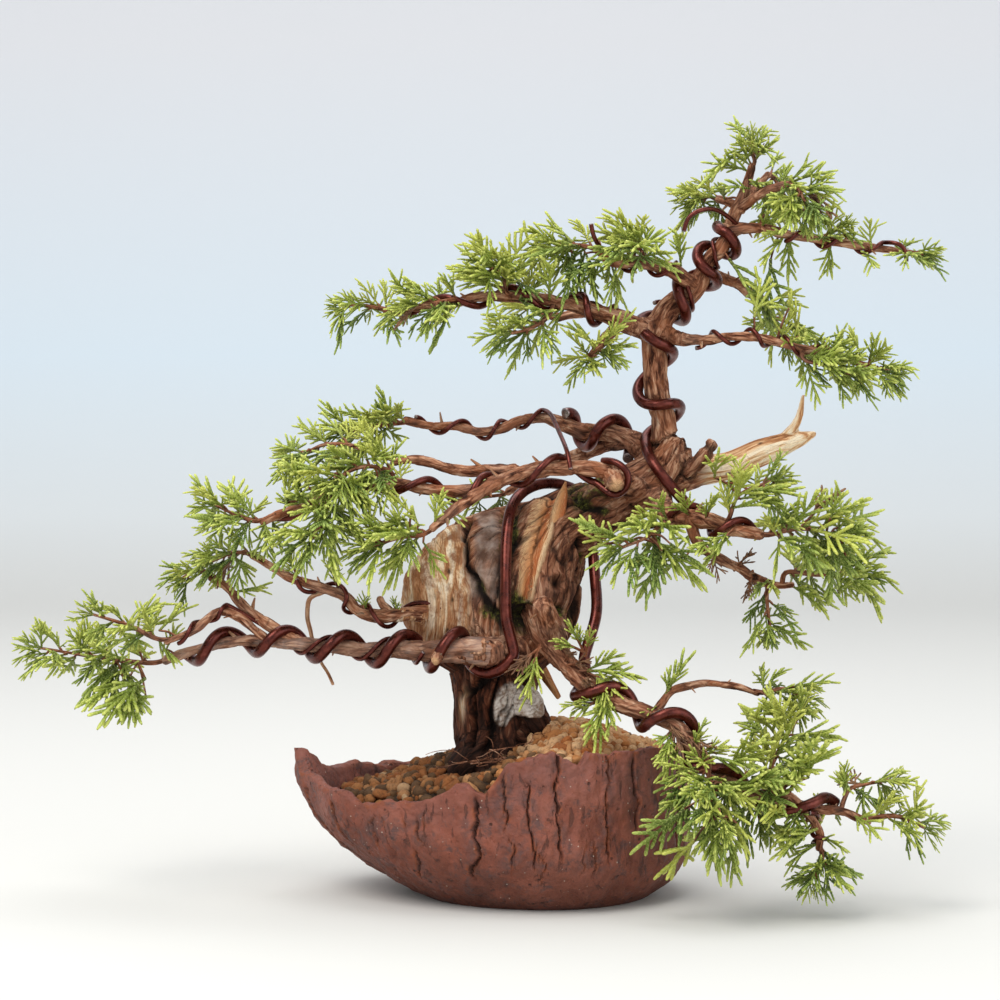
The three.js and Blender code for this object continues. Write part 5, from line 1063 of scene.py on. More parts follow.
def bare_zones(points, front, thick, is_jin):
    """Where the trunk has lost its bark, how bare wood is stained, and where bark is grey or darkened by
    painted shade.
    """
    x, y, z = points.T
    edge = x + 0.25 * (z - 110) + 3.5 * field(points, (6, 6, 30), 61)
    before = smooth(-y + 3 * field(points, 6, 64), -15, -9)
    bulge = smooth(-edge, 18, 23) * smooth(z, 86, 94) * before * thick
    bleach = np.maximum(bulge, is_jin * smooth(x, 60, 68))
    grey = smooth(x, -24, -20) * smooth(-x, 8, 12) * smooth(z, 103, 110) * front * (1 - bulge)
    grey *= smooth(field(points, (7, 7, 11), 62), -0.35, 0.15)
    chip = np.exp(-((x + 22.3 - 0.08 * (z - 67)) / 0.9) ** 2 - ((z - 67) / 5) ** 2) * front
    bleach = np.maximum(bleach, 0.75 * chip)
    wander = 2.2 * field(points, (9, 9, 20), 81)
    stain = 0.45 * smooth(-x, 38, 41) + 0.95 * np.exp(-((x + 35 + wander) / 2.6) ** 2)
    stain += 0.85 * np.exp(-((x + 25 + wander) / 3.0) ** 2) * smooth(-z, -114, -104)
    stain = np.clip(stain + 0.2 + 0.45 * smooth(-z, -102, -90), 0, 1) * bulge
    # Painted shade: low on the trunk, below the branches, and on its right side, away from the key light.
    lower = np.maximum(smooth(-z, -90, -82), 0.55 * smooth(x, 2, 12) * smooth(-x, -48, -34))
    return Zones(bulge=bulge, bleach=bleach, grey=grey, stain=stain, lower=lower * thick * (1 - bleach))


def front_marks(points, front):
    """The marks of the trunk's front: clefts, the torn tongue with its ridge, the burl and a knot hole."""
    x, _, z = points.T
    cleft = np.zeros(len(points))
    wide = 1 + 0.40 * field(points, 4, 63)
    for rows in CLEFTS:
        away, _ = near_line(x, z, rows)
        cleft = np.maximum(cleft, np.exp(-(away / wide) ** 2) * front)
    away, signed = near_line(x, z, TORN)
    torn = smooth(-away - 0.12 * field(points, (2.5, 2.5, 6), 82), -1.06, -0.94) * front
    ridge = np.exp(-((signed - 0.80) / 0.14) ** 2) * torn
    whorl_away, _ = near_line(x, z, WHORL)
    whorl = smooth(-whorl_away - 0.22 * field(points, 3, 83), -1.12, -0.92) * front
    turns = np.hypot((x - WHORL_MIDDLE[0]) / 1.6, (z - WHORL_MIDDLE[1]) / 0.8) + 1.3 * field(points, 5, 77)
    ring = 0.5 + 0.5 * np.sin(2 * np.pi * (turns + 0.5 * field(points, 1.3, 85)) / 1.3)
    knot = np.hypot(x - KNOT[0], z - KNOT[1]) / KNOT[2]
    lip = np.exp(-((knot - 1) / 0.35) ** 2) * front
    hole = np.exp(-(knot / 0.6) ** 2) * front
    return Zones(cleft=cleft, torn=torn, signed=np.clip(signed, -1, 1), ridge=ridge, whorl=whorl, ring=ring,
                 lip=lip, hole=hole)


def trunk_relief(points, fibre, crack, fold, bare, mark, thick, is_upper):
    """How far each point stands out: grooves on bare wood, flakes and cracks in bark, and the marks."""
    grooves = rough(fibre, (1.9, 1.9, 20), 71, 3)
    flakes = rough(fibre, (4.0, 4.0, 9), 75, 4)
    relief = bare.bleach * (0.45 * grooves + 0.50 * rough(fibre, (5, 5, 30), 72, 2))
    scaly = 0.55 * flakes - 1.45 * crack * np.where(is_upper, 0.4, 1)
    relief += (1 - bare.bleach) * (1 - 0.85 * bare.grey) * scaly
    relief *= np.where(thick, 1.0, 0.40)
    relief -= 4.3 * mark.cleft + 1.5 * fold
    hollow = 1 - mark.signed ** 2
    fibrous = 0.45 * rough(fibre, (1.1, 1.1, 26), 76, 2)
    relief += mark.torn * (fibrous - 1.3 * hollow - relief * 0.8) + 0.9 * mark.ridge
    relief += mark.whorl * (1.1 + 0.22 * mark.ring + 0.55 * rough(points, 3.2, 84, 2))
    relief += 1.5 * mark.lip - 2.4 * mark.hole
    return relief + 0.9 * field(points, 14, 78) * thick


def make_trunk(material):
    """The trunk: a cream bulge of bare wood, mossy clefts, torn heartwood, plated bark and a pale burl."""
    piece = merged_wood()
    mesh = piece.data
    points = read_rows(mesh, "co") / MM
    normals = read_rows(mesh, "normal")
    fibre, owner, seam = wood_frame(points, TRUNK)
    x, y, z = points.T
    front = smooth(-normals[:, 1], 0.0, 0.45) * smooth(-y, -2, 3)
    is_jin = np.isin(owner, [TRUNK.index(name) for name in ("jin", "jinFork")])
    is_upper = owner == TRUNK.index("trunkUpper")
    thick = ~(is_jin | is_upper)
    bare = bare_zones(points, front, thick, is_jin)
    mark = front_marks(points, front)

    climb = 20 * np.arctan2(z - 100, np.maximum(-y, 0.1)) + 300
    upright = np.column_stack([x + 1.6 * field(points, (9, 9, 26), 80), 0.45 * np.hypot(y, z - 100), climb])
    fibre = np.where((bare.bulge > 0.05)[:, None], upright, fibre)
    plates = np.abs(field(fibre, (7, 7, 17), 73) + 0.35 * field(fibre, (2.5, 2.5, 8), 74))
    crack = 1 - smooth(plates, 0.0, 0.13)
    fold = np.exp(-(seam / 1.6) ** 2) * thick * smooth(z, 88, 100) * (1 - 0.5 * front)
    relief = trunk_relief(points, fibre, crack, fold, bare, mark, thick, is_upper)
    moved = points + normals * relief[:, None]
    mesh.vertices.foreach_set("co", (moved * MM).astype(np.float32).ravel())

    # Painted shade in the clefts, the folds between branches, the knot hole and the bark's cracks, at the
    # trunk's foot and in a spot below the burl's whorl.
    dark = smooth(mark.cleft, 0.30, 0.80) + 0.85 * smooth(fold, 0.5, 0.95) + mark.hole
    dark = np.clip(dark + 0.8 * crack * (1 - bare.bleach) * thick, 0, 1)
    foot = smooth(-z, -62, -52) * 0.7 + 0.8 * np.exp(-((x - 3) / 7) ** 2 - ((z - 62) / 4) ** 2) * front
    moss = smooth(mark.cleft, 0.12, 0.5) * smooth(field(points, 5, 79), -0.2, 0.4) * smooth(z, 78, 96)
    top = smooth(normals[:, 2], 0.2, 0.7) * smooth(x, 12, 18) * smooth(-x, -36, -28) * smooth(z, 128, 134)
    values = {
        "fibre": fibre, "lower": bare.lower, "torn": mark.torn, "stain": bare.stain, "ring": mark.ring,
        "bleach": bare.bleach * (1 - mark.torn), "grey": bare.grey * (1 - mark.torn),
        "across": 0.5 + 0.5 * mark.signed, "whorl": mark.whorl * (1 - mark.cleft),
        "dark": np.clip(np.maximum(dark, foot * (1 - mark.whorl)), 0, 1),
        "moss": np.clip(np.maximum(moss, 0.9 * top), 0, 1)}
    for key, value in values.items():
        set_value(mesh, key, value)
    mesh.shade_smooth()
    return finished(piece, material, ["tree"])


def bark_relief(seed, strength):
    """Growth of a branch's surface from its place along and its angle: flakes and lengthwise ribs."""
    def relief(place, angle, radius):
        local = np.column_stack([np.cos(angle) * radius, np.sin(angle) * radius, place + 50 * seed])
        ribs = rough(local, (1.3, 1.3, 6), seed, 3)
        plates = np.abs(field(local, (3, 3, 7), seed + 5) + 0.4 * field(local, (1.2, 1.2, 3), seed + 6))
        lumps = field(local * [0.2, 0.2, 1], (1, 1, 4.5), seed + 9)
        growth = 0.17 * ribs + 0.12 * lumps - 0.10 * (1 - smooth(plates, 0.0, 0.18))
        return strength * np.minimum(radius, 3) * growth
    return relief


def make_branches(material):
    """Every branch, stub and dead twig as a long round piece of wood with flaking bark."""
    heap = Heap()
    random = np.random.default_rng(19)
    names = [name for name in WOOD if name not in TRUNK and name not in TORN_STRIPS]
    for seed, name in enumerate(names):
        thick = max(row[3] for row in WOOD[name])
        line = evenly(WOOD[name], 0.65)
        line[:, :3] += 0.25 * np.column_stack([field(line[:, :3], 6, seed + k) for k in (1, 2, 3)])
        dead = name == "deadTwig"
        body, local = tube(line, int(np.clip(2 * np.pi * thick / 0.85, 10, 34)), bark_relief(seed, 1.0))
        off_middle = np.hypot(local[:, 0], local[:, 1]) / line[-1, 3] + 0.2 * field(local, 1.2, seed)
        cut = smooth(local[:, 2], local[:, 2].max() - 0.5, local[:, 2].max() - 0.1) * (name in CUT_STUBS)
        cut = 0.8 * cut * smooth(-off_middle, -0.95, -0.6)
        local[:, 2] += 60 * seed
        heap.add(**body, fibre=local, bleach=0.35 if dead else 0.0, torn=cut, across=0.25,
                 # The low right branch gets painted shade.
                 lower=0.3 if name == "lowRight" else 0.0, grey=0.45 if name == "lowLeft" else 0.0)
        if thick > 1.2 and not dead:
            add_snags(heap, line, random, seed)
    add_torn_wood(heap)
    add_hair_roots(heap, random)
    return heap.piece("branchWood", material, "bark", ["tree"])


def add_snags(heap, line, random, seed):
    """Short dead twigs and bud stubs that stand out of a branch."""
    along, side, up = carried(line)
    for place in range(10, len(line) - 6, 13):
        k = place + int(random.integers(-4, 5))
        angle = random.uniform(0, 2 * np.pi)
        out = side[k] * np.cos(angle) + up[k] * np.sin(angle)
        way = unit(out + along[k] * random.uniform(0.2, 1.0))
        root = line[k, :3] + out * line[k, 3] * 0.55
        size = random.choice([0.8, 1.6, 3.6], p=[0.45, 0.35, 0.20])
        bend = 0.25 * size * unit(random.normal(size=3))
        radius = 0.32 + 0.10 * min(size, 3)
        if line[k, 3] < 1.6:
            radius *= 0.75
        twig = np.array([[*root, radius * 1.3], [*(root + way * size * 0.6 + bend * 0.4), radius],
                         [*(root + way * (size + 0.8) + bend), radius * 0.55]])
        in_bowl = np.hypot(twig[-1, 0], twig[-1, 1]) < 62 and twig[-1, 2] < 60
        if in_bowl:
            continue
        body, local = tube(evenly(twig, 0.5), 6)
        heap.add(**body, fibre=local + [0, 0, 90.0 * seed], bleach=0.2)


def add_torn_wood(heap):
    """The sharp tongue of torn heartwood on the trunk's front and the loose strip behind its foot."""
    for name, (flat, seed) in TORN_STRIPS.items():
        line = evenly(WOOD[name], 0.5)
        if name == "tornRidge":
            line = line[lengths(line) > 26]
            share = np.linspace(0, 1, len(line))
            line[:, 3] *= np.interp(share, [0, 0.35, 0.8, 1], [0.55, 0.85, 0.9, 0.35])
        body, local = tube(line, 16, lambda place, angle, radius: 0.30 * radius * rough(
            np.column_stack([np.cos(angle), np.sin(angle), place]), (0.5, 0.5, 12), seed, 2), blunt=0.6)
        rise = np.argsort(line[:, 2])
        middle = np.interp(body["points"][:, 2], line[rise, 2], line[rise, 1])
        body["points"][:, 1] = middle + (body["points"][:, 1] - middle) * flat
        across = np.clip(0.42 + 0.11 * local[:, 0], 0, 1)
        heap.add(**body, fibre=local + [0, 0, 700.0], torn=1.0, across=across)


def add_hair_roots(heap, random):
    """Fine dead roots that stand out of the soil before the trunk."""
    starts = [(-12, -22, 48), (-17, -23, 48), (-7, -24, 47), (-20, -22, 47), (-3, -25, 48)]
    for index, start in enumerate(starts):
        for branch in range(4):
            way = unit([-1.0 + 0.35 * random.normal(), -0.25 * random.random(), 0.12 * random.random()])
            if index > 2:
                way[0] *= -0.6
            rows = [np.array([*start, 0.24])]
            for k in range(11):
                way = unit(way + 0.75 * random.normal(size=3) * [0.9, 0.6, 0.40])
                rows.append(np.array([*(rows[-1][:3] + way * 2.2), 0.22 - 0.011 * k]))
            rows = np.array(rows)
            along = rows[:, 0] + 46
            rows[:, 2] = np.clip(rows[:, 2], 45.5 + 0.12 * along, 53.5 + 0.10 * along)
            body, local = tube(evenly(rows, 0.7), 5)
            heap.add(**body, fibre=local + [0, 0, 30.0 * branch], dark=0.15 + 0.2 * (branch == 1))


# ---------------------------------------------------------------- the wires
def coil_points(coil, radius):
    """A helix round a branch, in whole and part turns."""
    name, axis, start_at, end_at, turns, start = coil
    first, last = share_at(name, axis, start_at), share_at(name, axis, end_at)
    count = max(2, round(abs(turns) * 26))
    shares = first + (last - first) * np.arange(count + 1) / count
    rows = spline(WOOD[name], shares)
    ahead = spline(WOOD[name], np.clip(shares + 0.004, 0, 1))
    behind = spline(WOOD[name], np.clip(shares - 0.004, 0, 1))
    along = unit(ahead[:, :3] - behind[:, :3])
    reference = np.array([1.0, 0, 0] if axis == 2 else [0, 0, 1.0])
    up = unit(reference - along * (along @ reference)[:, None])
    side = np.cross(along, up)
    angle = np.pi * (start + 2 * turns * np.arange(count + 1) / count)
    reach = rows[:, 3] + radius + 0.18
    return rows[:, :3] + (up * np.cos(angle)[:, None] + side * np.sin(angle)[:, None]) * reach[:, None]


def wire_line(name):
    """The wire's whole centre line, smooth through its free ends and its coils."""
    wire = WIRES[name]
    radius = wire["radius"]
    coils = [coil_points(coil, radius) for coil in wire["coils"]]
    parts = [wire.get("lead", []), *coils, wire.get("tail", [])]
    route = np.vstack([np.reshape(part, (-1, 3)) for part in parts])
    fine = spline(route, np.linspace(0, 1, 10 * len(route)))
    for _ in range(30):
        fine[1:-1] = 0.25 * fine[:-2] + 0.5 * fine[1:-1] + 0.25 * fine[2:]
    marks = lengths(fine)
    even = np.arange(0, marks[-1], max(0.45, radius * 0.36))
    points = np.column_stack([np.interp(even, marks, column) for column in fine.T])
    return np.column_stack([points, np.full(len(points), radius)])


def make_wires(material):
    """Each training wire as one smooth round length, cut square at its ends."""
    for name in WIRES:
        line = wire_line(name)
        sides = 20 if line[0, 3] > 1 else 14
        body, local = tube(line, sides, blunt=0.16)
        place = local[:, 2]
        bare = smooth(-np.minimum(place, place.max() - place), -0.35, -0.1)
        heap = Heap()
        heap.add(**body, fibre=local, bare=0.45 * bare)
        heap.piece(name.replace("wire", "coil"), material, "wire", [name])


# ---------------------------------------------------------------- the foliage
SPRIG = 19  # length of a full spray of cords
CORD = 0.60  # radius of a cord of scale leaves
CORD_STEP = 0.85  # from one point of a cord to the next
SCALE = 1.5  # length of one pair of scales along a cord
FORK_FROM = 9.5  # a side cord longer than this forks
PAD_SLACK = 2.5  # how far cords may reach past the box of the spray that they stand for
LOW, HIGH = np.array(cad_box[0]) / MM + 0.3, np.array(cad_box[1]) / MM - 0.3


def cord(points, radius, tip_from, tip_to):
    """A cord of pressed scale leaves: a thin tube, knotted at every pair of scales, with a blunt tip."""
    along, side, up = carried(points)
    sides = 5
    place = lengths(points)
    angle = 2 * np.pi * np.arange(sides) / sides
    way = (side[:, None, :] * np.cos(angle)[None, :, None] + up[:, None, :] * np.sin(angle)[None, :, None])
    radii = radius * (1 + 0.09 * np.cos(np.pi * np.arange(len(points))))
    radii[-1] = 0.62 * radius
    rings = points[:, None, :] + way * radii[:, None, None]
    tip = points[-1] + along[-1] * radius * 0.45
    quads, _, head_fan = ring_faces(len(points), sides)
    tris = np.vstack([head_fan - [1, 0, 0], [[0, 2, 1], [0, 3, 2], [0, 4, 3]]])
    share = np.repeat(place / place[-1], sides)
    values = np.append(tip_from + (tip_to - tip_from) * share, tip_to)
    odd = np.tile(np.arange(sides) % 2, len(points))
    scale = np.append(np.repeat(np.pi * 2 * place / SCALE, sides) + np.pi * odd, 0)
    return {"points": np.vstack([rings.reshape(-1, 3), tip]), "quads": quads, "tris": tris,
            "tip": values, "scale": scale}


def cord_line(start, way, bend, length):
    """A line that leaves in one direction and turns slowly to another."""
    count = max(3, int(round(length / CORD_STEP)) + 1)
    share = np.linspace(0, 1, count)[:, None]
    return start + length * (share * way + share ** 2 * bend)


def sprig(seed):
    """One flat spray of straight blunt cords on the X axis; the longer side cords fork once."""
    random = np.random.default_rng(seed)
    heap = Heap()
    bend = np.array([-0.03, random.uniform(-0.12, 0.12), random.uniform(-0.14, 0.05)])
    main = cord_line(np.zeros(3), np.array([1.0, 0, 0]), bend, SPRIG * random.uniform(0.88, 1.08))
    heap.add(**cord(main, CORD, 0.0, 1.0))
    way = 1 if seed % 2 else -1
    k = 3
    while k < len(main) - 3:
        way = -way
        share = k / len(main)
        reach = (6.0 * (1 - share) + 7.0) * random.uniform(0.72, 1.12)
        turn = way * np.radians(random.uniform(18, 42))
        direction = unit([np.cos(turn), np.sin(turn), random.uniform(-0.50, 0.50)])
        back = np.array([0.06, -0.09 * way, random.uniform(-0.12, 0.04)])
        line = cord_line(main[k], direction, back, reach)
        heap.add(**cord(line, CORD * 0.97, 0.15 + 0.4 * share, 1.0))
        if reach > FORK_FROM:
            j = int(len(line) * random.uniform(0.10, 0.35))
            small = turn + way * np.radians(random.uniform(16, 32))
            direction = unit([np.cos(small), np.sin(small), random.uniform(-0.35, 0.35)])
            leaf = cord_line(line[j], direction, np.zeros(3), random.uniform(5.5, 0.75 * reach))
            heap.add(**cord(leaf, CORD * 0.94, 0.45, 1.0))
        k += int(random.integers(2, 4))
    tip, scale = [np.concatenate([value for _, value in heap.values[key]]) for key in ("tip", "scale")]
    return np.vstack(heap.points), np.vstack(heap.quads), np.vstack(heap.tris), tip, scale


def tone_and_top_light(random, middle, lift):
    """A tone drawn at random, with painted light and shade: lighter where a sprig points up, darker where
    it points down.
    """
    return float(np.clip(middle + lift + random.normal(0, 0.20), 0, 1))


def set_sprig(heap, models, random, root, way, length, tone, roll, droop, dead=0.0, low=LOW, high=HIGH):
    """Lays a copy of a sprig at a place: turned, rolled and bent down by its own weight, each up to a
    limit, and shortened where it would reach out of a box."""
    points, quads, tris, tip, scale = models[random.integers(len(models))]
    roll, droop = random.uniform(-roll, roll), random.uniform(0.0, droop)
    side = np.cross([0.0, 0.0, 1.0], way)
    side = unit(side if np.linalg.norm(side) > 0.05 else np.cross([0.0, 1.0, 0.0], way))
    up = np.cross(way, side)
    c, s = math.cos(roll), math.sin(roll)
    turn = np.array([way, side * c + up * s, up * c - side * s])
    placed = (points * length / SPRIG) @ turn
    placed[:, 2] -= droop * (points[:, 0] / SPRIG) ** 2 * length * 0.5
    room = np.where(placed > 0, np.maximum(high - root, 3), np.maximum(root - low, 3))
    placed /= max(1.0, np.abs(placed / room).max())
    heap.add(placed + root, quads, tris, tip=tip, scale=scale, tone=tone, dead=dead)


def woody_twig(twigs, start, end, lift, radius=0.5):
    """A short bare twig between two places."""
    middle = 0.5 * (np.array(start, float) + end) + [0, 0, lift]
    rows = [(*start, radius), (*middle, 0.9 * radius), (*end, 0.8 * radius)]
    body, local = tube(evenly(rows, 1.0), 6)
    # Twigs inside the foliage get a little painted shade.
    twigs.add(**body, fibre=local, lower=0.1)


def grow_spray(name, twigs, models, seed):
    """A pad of foliage: a woody core and short side twigs, with flat sprigs fanned out from them."""
    on, core, reach, count, more = SPRAYS[name]
    random = np.random.default_rng(seed)
    branch = evenly(WOOD[on], 0.8)
    first, last = np.array(core[0], float), np.array(core[-1], float)
    near = np.linalg.norm(branch[:, :3] - first, axis=1).argmin()
    line = evenly([tuple(branch[max(near - 2, 0), :3]), *core], 1.2)
    line = np.column_stack([line, np.linspace(0.95, 0.5, len(line))])
    along, side, up = carried(line)
    outward = unit(last - first)
    body, local = tube(line, 7, bark_relief(seed, 0.8))
    # The core's twig gets a little painted shade.
    twigs.add(**body, fibre=local, lower=0.1)
    heap = Heap()
    low, high = [np.array(corner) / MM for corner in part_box("foliage" + name)]
    low, high = np.maximum(low - PAD_SLACK, LOW), np.minimum(high + PAD_SLACK, HIGH)

    def lay(place, way, length):
        dead = 1.0 if random.random() < 0.012 else 0.0
        # Painted light and shade: sprigs that point up get a lighter tone, those that point down a darker
        # one.
        tone = tone_and_top_light(random, 0.54, 0.26 * way[2])
        set_sprig(heap, models, random, place, unit(way), length, tone, 1.0, 0.45, dead, low, high)

    def fan(start, way, span):
        stem = span * random.uniform(0.06, 0.30)
        end = start + way * stem + [0, 0, 0.08 * stem]
        woody_twig(twigs, start, end, 0.04 * span)
        full = np.clip(span - stem + 5.0, 11, 23)
        lay(end, way, full)
        cross = unit(np.cross(way, [0.3, 0.2, 1.0]))
        over = np.cross(cross, way)
        tilt = random.choice([-1, 1]) * random.uniform(0.45, 0.95) * cross
        tilt = tilt + random.uniform(-0.6, 0.6) * over
        lay(start + way * stem * random.uniform(0.3, 0.9), way + tilt, full * random.uniform(0.70, 1.0))

    for i in range(count):
        k = int((0.15 + 0.83 * (i + 0.5) / count) * (len(line) - 1))
        angle = i * GOLDEN_TURN + random.uniform(-0.4, 0.4)
        out = side[k] * math.cos(angle) + up[k] * math.sin(angle)
        way = unit(out + along[k] * 0.6 + outward * 0.35)
        spread = math.hypot(reach[0] * math.hypot(out[0], out[1]), reach[1] * out[2])
        fan(line[k, :3], way, 0.88 * spread * random.uniform(0.75, 1.15))
    start = line[int(0.4 * (len(line) - 1)), :3]
    for end in more:
        goal = np.array(end, float) - start
        for share, lift in ((1.0, 0), (0.6, 3)):
            fan(start, unit(goal + [0, lift, lift * 0.5]), np.linalg.norm(goal) * share)
    for turn in (-0.5, 0.0, 0.5):
        lay(line[-1, :3], along[-1] + turn * side[-1], 0.55 * reach[0] + 1.5)
    return heap


# Looser foliage between the pads, in clouds: middle, half size and how many sprigs.
CLOUDS = {
    "TopLeftOuter": [((-56, -8, 205), (11, 7, 8), 4), ((-30, -12, 208), (15, 9, 11), 6),
        ((-8, -10, 214), (16, 10, 14), 9)],
    "TopLeftInner": [((14, -8, 217), (16, 10, 15), 9), ((40, -8, 226), (17, 10, 14), 9),
        ((25, -12, 190), (9, 6, 9), 4)],
    "Crown": [((79, 0, 260), (9, 8, 12), 5), ((84, -4, 245), (18, 11, 12), 11),
        ((94, -8, 231), (11, 7, 8), 4)],
    "CrownRight": [((118, -6, 228), (22, 7, 9), 6), ((139, -4, 227), (7, 5, 4), 2)],
    "TopRight": [((78, -4, 210), (12, 8, 8), 4), ((90, -12, 203), (10, 8, 8), 3),
        ((106, -16, 192), (17, 10, 13), 9), ((122, -16, 187), (7, 6, 6), 2)],
    "HighLeft": [((-58, 13, 168), (18, 9, 10), 7)],
    "MidLeft": [((-100, -20, 134), (20, 9, 9), 8), ((-74, -26, 140), (18, 12, 14), 10),
        ((-62, -34, 141), (22, 6, 9), 12)],
    "MidLeftInner": [((-48, -26, 144), (18, 12, 15), 10), ((-40, -34, 128), (14, 8, 12), 6)],
    "SecondLeft": [((-104, -12, 113), (11, 7, 8), 3)],
    "LowLeft": [((-158, -9, 87), (20, 9, 9), 7), ((-134, -14, 91), (17, 11, 12), 9),
        ((-140, -18, 74), (12, 8, 9), 4)],
    "MidRight": [((46, -34, 126), (25, 10, 11), 10), ((70, -30, 146), (13, 9, 8), 4)],
    "MidRightOuter": [((98, -32, 130), (24, 13, 18), 15), ((108, -12, 112), (13, 10, 10), 5),
        ((86, -20, 98), (7, 7, 11), 3)],
    "LowRight": [((62, -64, 34), (23, 12, 16), 12), ((88, -46, 62), (14, 12, 14), 8),
        ((93, -58, 34), (12, 10, 14), 9), ((80, -66, 50), (24, 6, 9), 17), ((60, -62, 46), (13, 7, 12), 9)],
    "LowRightOuter": [((118, -50, 36), (18, 10, 13), 9), ((100, -56, 20), (11, 8, 8), 4)],
}


def grow_clouds(name, twigs, models, seed, wood):
    """Sprigs strewn through a few clouds, each on a twig from the nearest wood."""
    random = np.random.default_rng(seed)
    heap = Heap()
    for middle, half, count in CLOUDS[name]:
        for _ in range(count):
            aim = np.array(middle) + np.array(half) * unit(random.normal(size=3)) * random.random() ** 0.4
            root = wood[np.linalg.norm(wood - aim, axis=1).argmin()]
            gap = np.linalg.norm(aim - root)
            way = unit((aim - root) / max(gap, 0.5) + 0.45 * random.normal(size=3))
            length = float(np.clip(0.6 * gap + 9, 13, 20)) * random.uniform(0.85, 1.1)
            start = aim - way * length * 0.5 if gap > 0.5 * length else root
            woody_twig(twigs, root, start, 0.08 * gap, 0.45)
            # Painted light and shade: sprigs that point up get a lighter tone, those that point down a
            # darker one.
            tone = tone_and_top_light(random, 0.56, 0.26 * way[2])
            set_sprig(heap, models, random, np.clip(start, LOW + 1, HIGH - 1), way, length, tone, 0.9, 0.35)
    return heap


# Single shoots on bare wood: root, the way they point, their length and how dead they are.
SHOOTS = [
    ((19, -31, 90), (-0.5, -0.3, 1.0), 10, 0), ((18, -31, 89), (-1.0, -0.3, 0.5), 10, 0),
    ((21, -32, 89), (0.2, -0.4, 1.0), 8, 0), ((21, -36, 82), (1.0, -0.3, 0.05), 17, 0),
    ((22, -36, 81), (0.9, -0.5, -0.35), 12, 0), ((21, -38, 71), (-1.0, -0.5, 0.05), 10, 0),
    ((24, -40, 72), (-0.9, -0.4, -0.5), 9, 0), ((27, -40, 76), (0.1, -0.6, -0.9), 12, 0),
    ((29, -42, 74), (-0.5, -0.4, -1.0), 17, 0), ((25, -38, 79), (0.3, -0.7, -0.6), 11, 0),
    ((16, -33, 84), (0.6, -0.6, 0.2), 9, 1), ((14, -32, 86), (0.2, -0.8, 0.5), 8, 1),
    ((19, -36, 80), (0.5, -0.7, -0.3), 9, 1), ((47, -45, 74), (0.5, -0.2, 1.0), 17, 0),
    ((46, -46, 72), (-0.7, -0.4, -0.4), 8, 0), ((4, -30, 88), (-0.35, -0.25, -1.0), 14, 0),
    ((3, -30, 88), (-0.8, -0.2, -0.6), 9, 1),
    ((48, -52, 67), (0.4, -0.6, -0.5), 12, 1), ((54, -56, 62), (0.6, -0.5, -0.2), 11, 1),
    ((50, -54, 64), (-0.4, -0.6, -0.8), 13, 0), ((53, -56, 60), (-0.7, -0.3, -0.9), 14, 0),
    ((56, -57, 58), (0.3, -0.3, 1.0), 11, 0), ((58, -58, 55), (0.9, -0.4, 0.5), 12, 0),
    ((-45, -17, 100), (-0.2, -0.3, 1.0), 7, 0), ((-57, -18, 101), (0.1, -0.4, 1.0), 8, 0),
    ((-66, -17, 110), (-0.4, -0.3, 1.0), 10, 0), ((-80, -16, 113), (-0.3, -0.4, 0.9), 10, 0),
    ((65, -25, 121), (0.2, -0.5, -1.0), 8, 1), ((74, -19, 117), (0.4, -0.6, 0.6), 9, 1),
    ((79, -17, 113), (-0.2, -0.6, -0.8), 8, 1), ((70, -37, 130), (-0.5, -0.6, -0.4), 12, 0),
    ((62, -30, 134), (0.2, -0.6, 0.7), 12, 0), ((57, -26, 135), (-0.4, -0.6, 0.8), 12, 0),
]


def grow_shoots(twigs, models):
    """Stray sprigs, green and dead, that grow straight out of the branches."""
    random = np.random.default_rng(71)
    heap = Heap()
    for root, way, length, dead in SHOOTS:
        way = unit(way)
        root = np.array(root, float)
        woody_twig(twigs, root - 2.5 * way, root + 0.3 * length * way, 0.0, 0.55)
        for turn, share in ((0.0, 1.0), (random.uniform(-0.7, 0.7), 0.75)):
            tone = tone_and_top_light(random, 0.58, 0)
            lean = unit(way + turn * np.cross(way, [0.0, 1.0, 0.0]))
            set_sprig(heap, models, random, root, lean, length * share, tone, 0.8, 0.3, float(dead))
    return heap


def make_foliage(material, bark):
    """The pads on their cores, the stray shoots, and the looser foliage between the pads."""
    models = [sprig(seed) for seed in range(14)]
    twigs = Heap()
    for index, name in enumerate(SPRAYS):
        heap = grow_spray(name, twigs, models, 300 + index)
        heap.piece("leaves" + name, material, "leaf", ["foliage" + name])
    grow_shoots(twigs, models).piece("strayShoots", material, "leaf")
    twigs.piece("leafTwigs", bark, "bark", ["foliage" + name for name in SPRAYS])
    lines = [WOOD[name] for name in WOOD if name not in TRUNK] + [SPRAYS[name][1] for name in SPRAYS]
    lines.append(WOOD["trunkUpper"][9:])
    wood = np.vstack([evenly(line, 2.0)[:, :3] for line in lines])
    twigs = Heap()
    for index, name in enumerate(CLOUDS):
        grow_clouds(name, twigs, models, 500 + index, wood).piece("loose" + name, material, "leaf")
    twigs.piece("looseTwigs", bark, "bark")


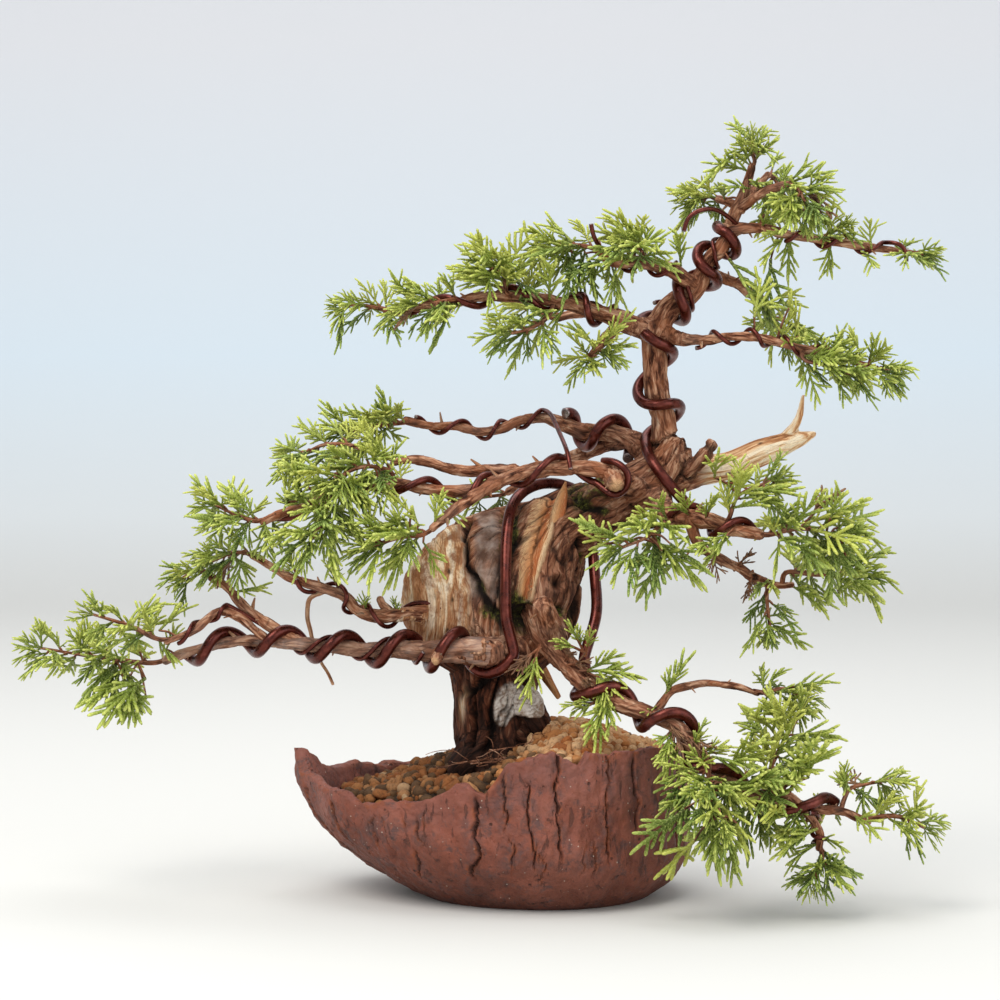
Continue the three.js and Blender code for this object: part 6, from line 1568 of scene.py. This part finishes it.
# ---------------------------------------------------------------- the drain mesh
def make_drain_meshes():
    """A woven plastic mesh over each drain hole."""
    material = mesh_material()
    strands, pitch, half = 7, 2.8, 8.4
    run = np.linspace(-half - 0.4, half + 0.4, 45)
    for name, x in (("drainMeshLeft", -DRAIN_OFFSET), ("drainMeshRight", DRAIN_OFFSET)):
        heap = Heap()
        for k in range(strands):
            for flip in (False, True):
                wave = 0.16 * np.cos(np.pi * (run + half) / pitch + np.pi * (k + flip))
                away = np.full(len(run), pitch * k - half)
                height = FLOOR + GAP + 0.5 + wave
                rows = np.column_stack([away, run, height, np.full(len(run), 0.3)])
                if flip:
                    rows = rows[:, [1, 0, 2, 3]]
                rows[:, 0] += x
                body, _ = tube(rows, 8, blunt=0.3)
                heap.add(**body)
        heap.piece(name.replace("drain", "woven"), material, "mesh", [name])


# ---------------------------------------------------------------- the stage
def make_stage():
    """A pale sweep under and behind the plant, and soft lights."""
    profile = [(-2.5, 0.0)] + [(1.2 + 0.9 * math.sin(a), 0.9 - 0.9 * math.cos(a))
                               for a in np.linspace(0, math.pi / 2, 24)] + [(2.1, 3.2)]
    points = [(x, y, z) for y, z in profile for x in (-3.0, 3.0)]
    faces = [(2 * i, 2 * i + 1, 2 * i + 3, 2 * i + 2) for i in range(len(profile) - 1)]
    mesh = bpy.data.meshes.new("sweep")
    mesh.from_pydata(points, [], faces)
    mesh.shade_smooth()
    sweep = bpy.data.objects.new("sweep", mesh)
    mesh.materials.append(floor_material())
    bpy.context.scene.collection.objects.link(sweep)
    lamp("keyLight", (-0.55, -0.75, 1.25), 0.9, 13.5, (1.0, 0.98, 0.95))
    lamp("fillLight", (0.95, -0.9, 0.55), 1.1, 5.0, (0.94, 0.97, 1.0))
    lamp("topLight", (0.0, 0.25, 1.3), 1.0, 8.5, (0.97, 0.985, 1.0))
    world = bpy.data.worlds.new("studio")
    world.use_nodes = True
    sky = world.node_tree.nodes["Background"]
    sky.inputs["Color"].default_value = (0.88, 0.94, 1.0, 1)
    sky.inputs["Strength"].default_value = 0.85
    bpy.context.scene.world = world


def lamp(name, place, size, power, colour):
    """A large soft light that looks at the plant."""
    light = bpy.data.lights.new(name, "AREA")
    light.size, light.energy, light.color = size, power, colour
    holder = bpy.data.objects.new(name, light)
    holder.location = place
    holder.rotation_euler = (Vector((0, 0, 0.13)) - Vector(place)).to_track_quat("-Z", "Y").to_euler()
    bpy.context.scene.collection.objects.link(holder)


def make_camera():
    """The photograph's view: nearly level, from a metre away, with a long lens."""
    lens = bpy.data.cameras.new("camera")
    lens.lens, lens.sensor_width = 110.0, 36.0
    lens.clip_start, lens.clip_end = 0.05, 20
    camera = bpy.data.objects.new("camera", lens)
    camera.location = (-0.009, -1.0833, 0.191)
    camera.rotation_euler = (math.radians(90 - 2.74), 0, 0)
    bpy.context.scene.collection.objects.link(camera)
    bpy.context.scene.camera = camera


make_camera()
make_stage()
bark = wood_material()
make_bowl()
make_soil()
make_trunk(bark)
make_branches(bark)
make_wires(wire_material())
make_foliage(leaf_material(), bark)
make_drain_meshes()
bpy.context.scene.view_settings.view_transform = "Standard"
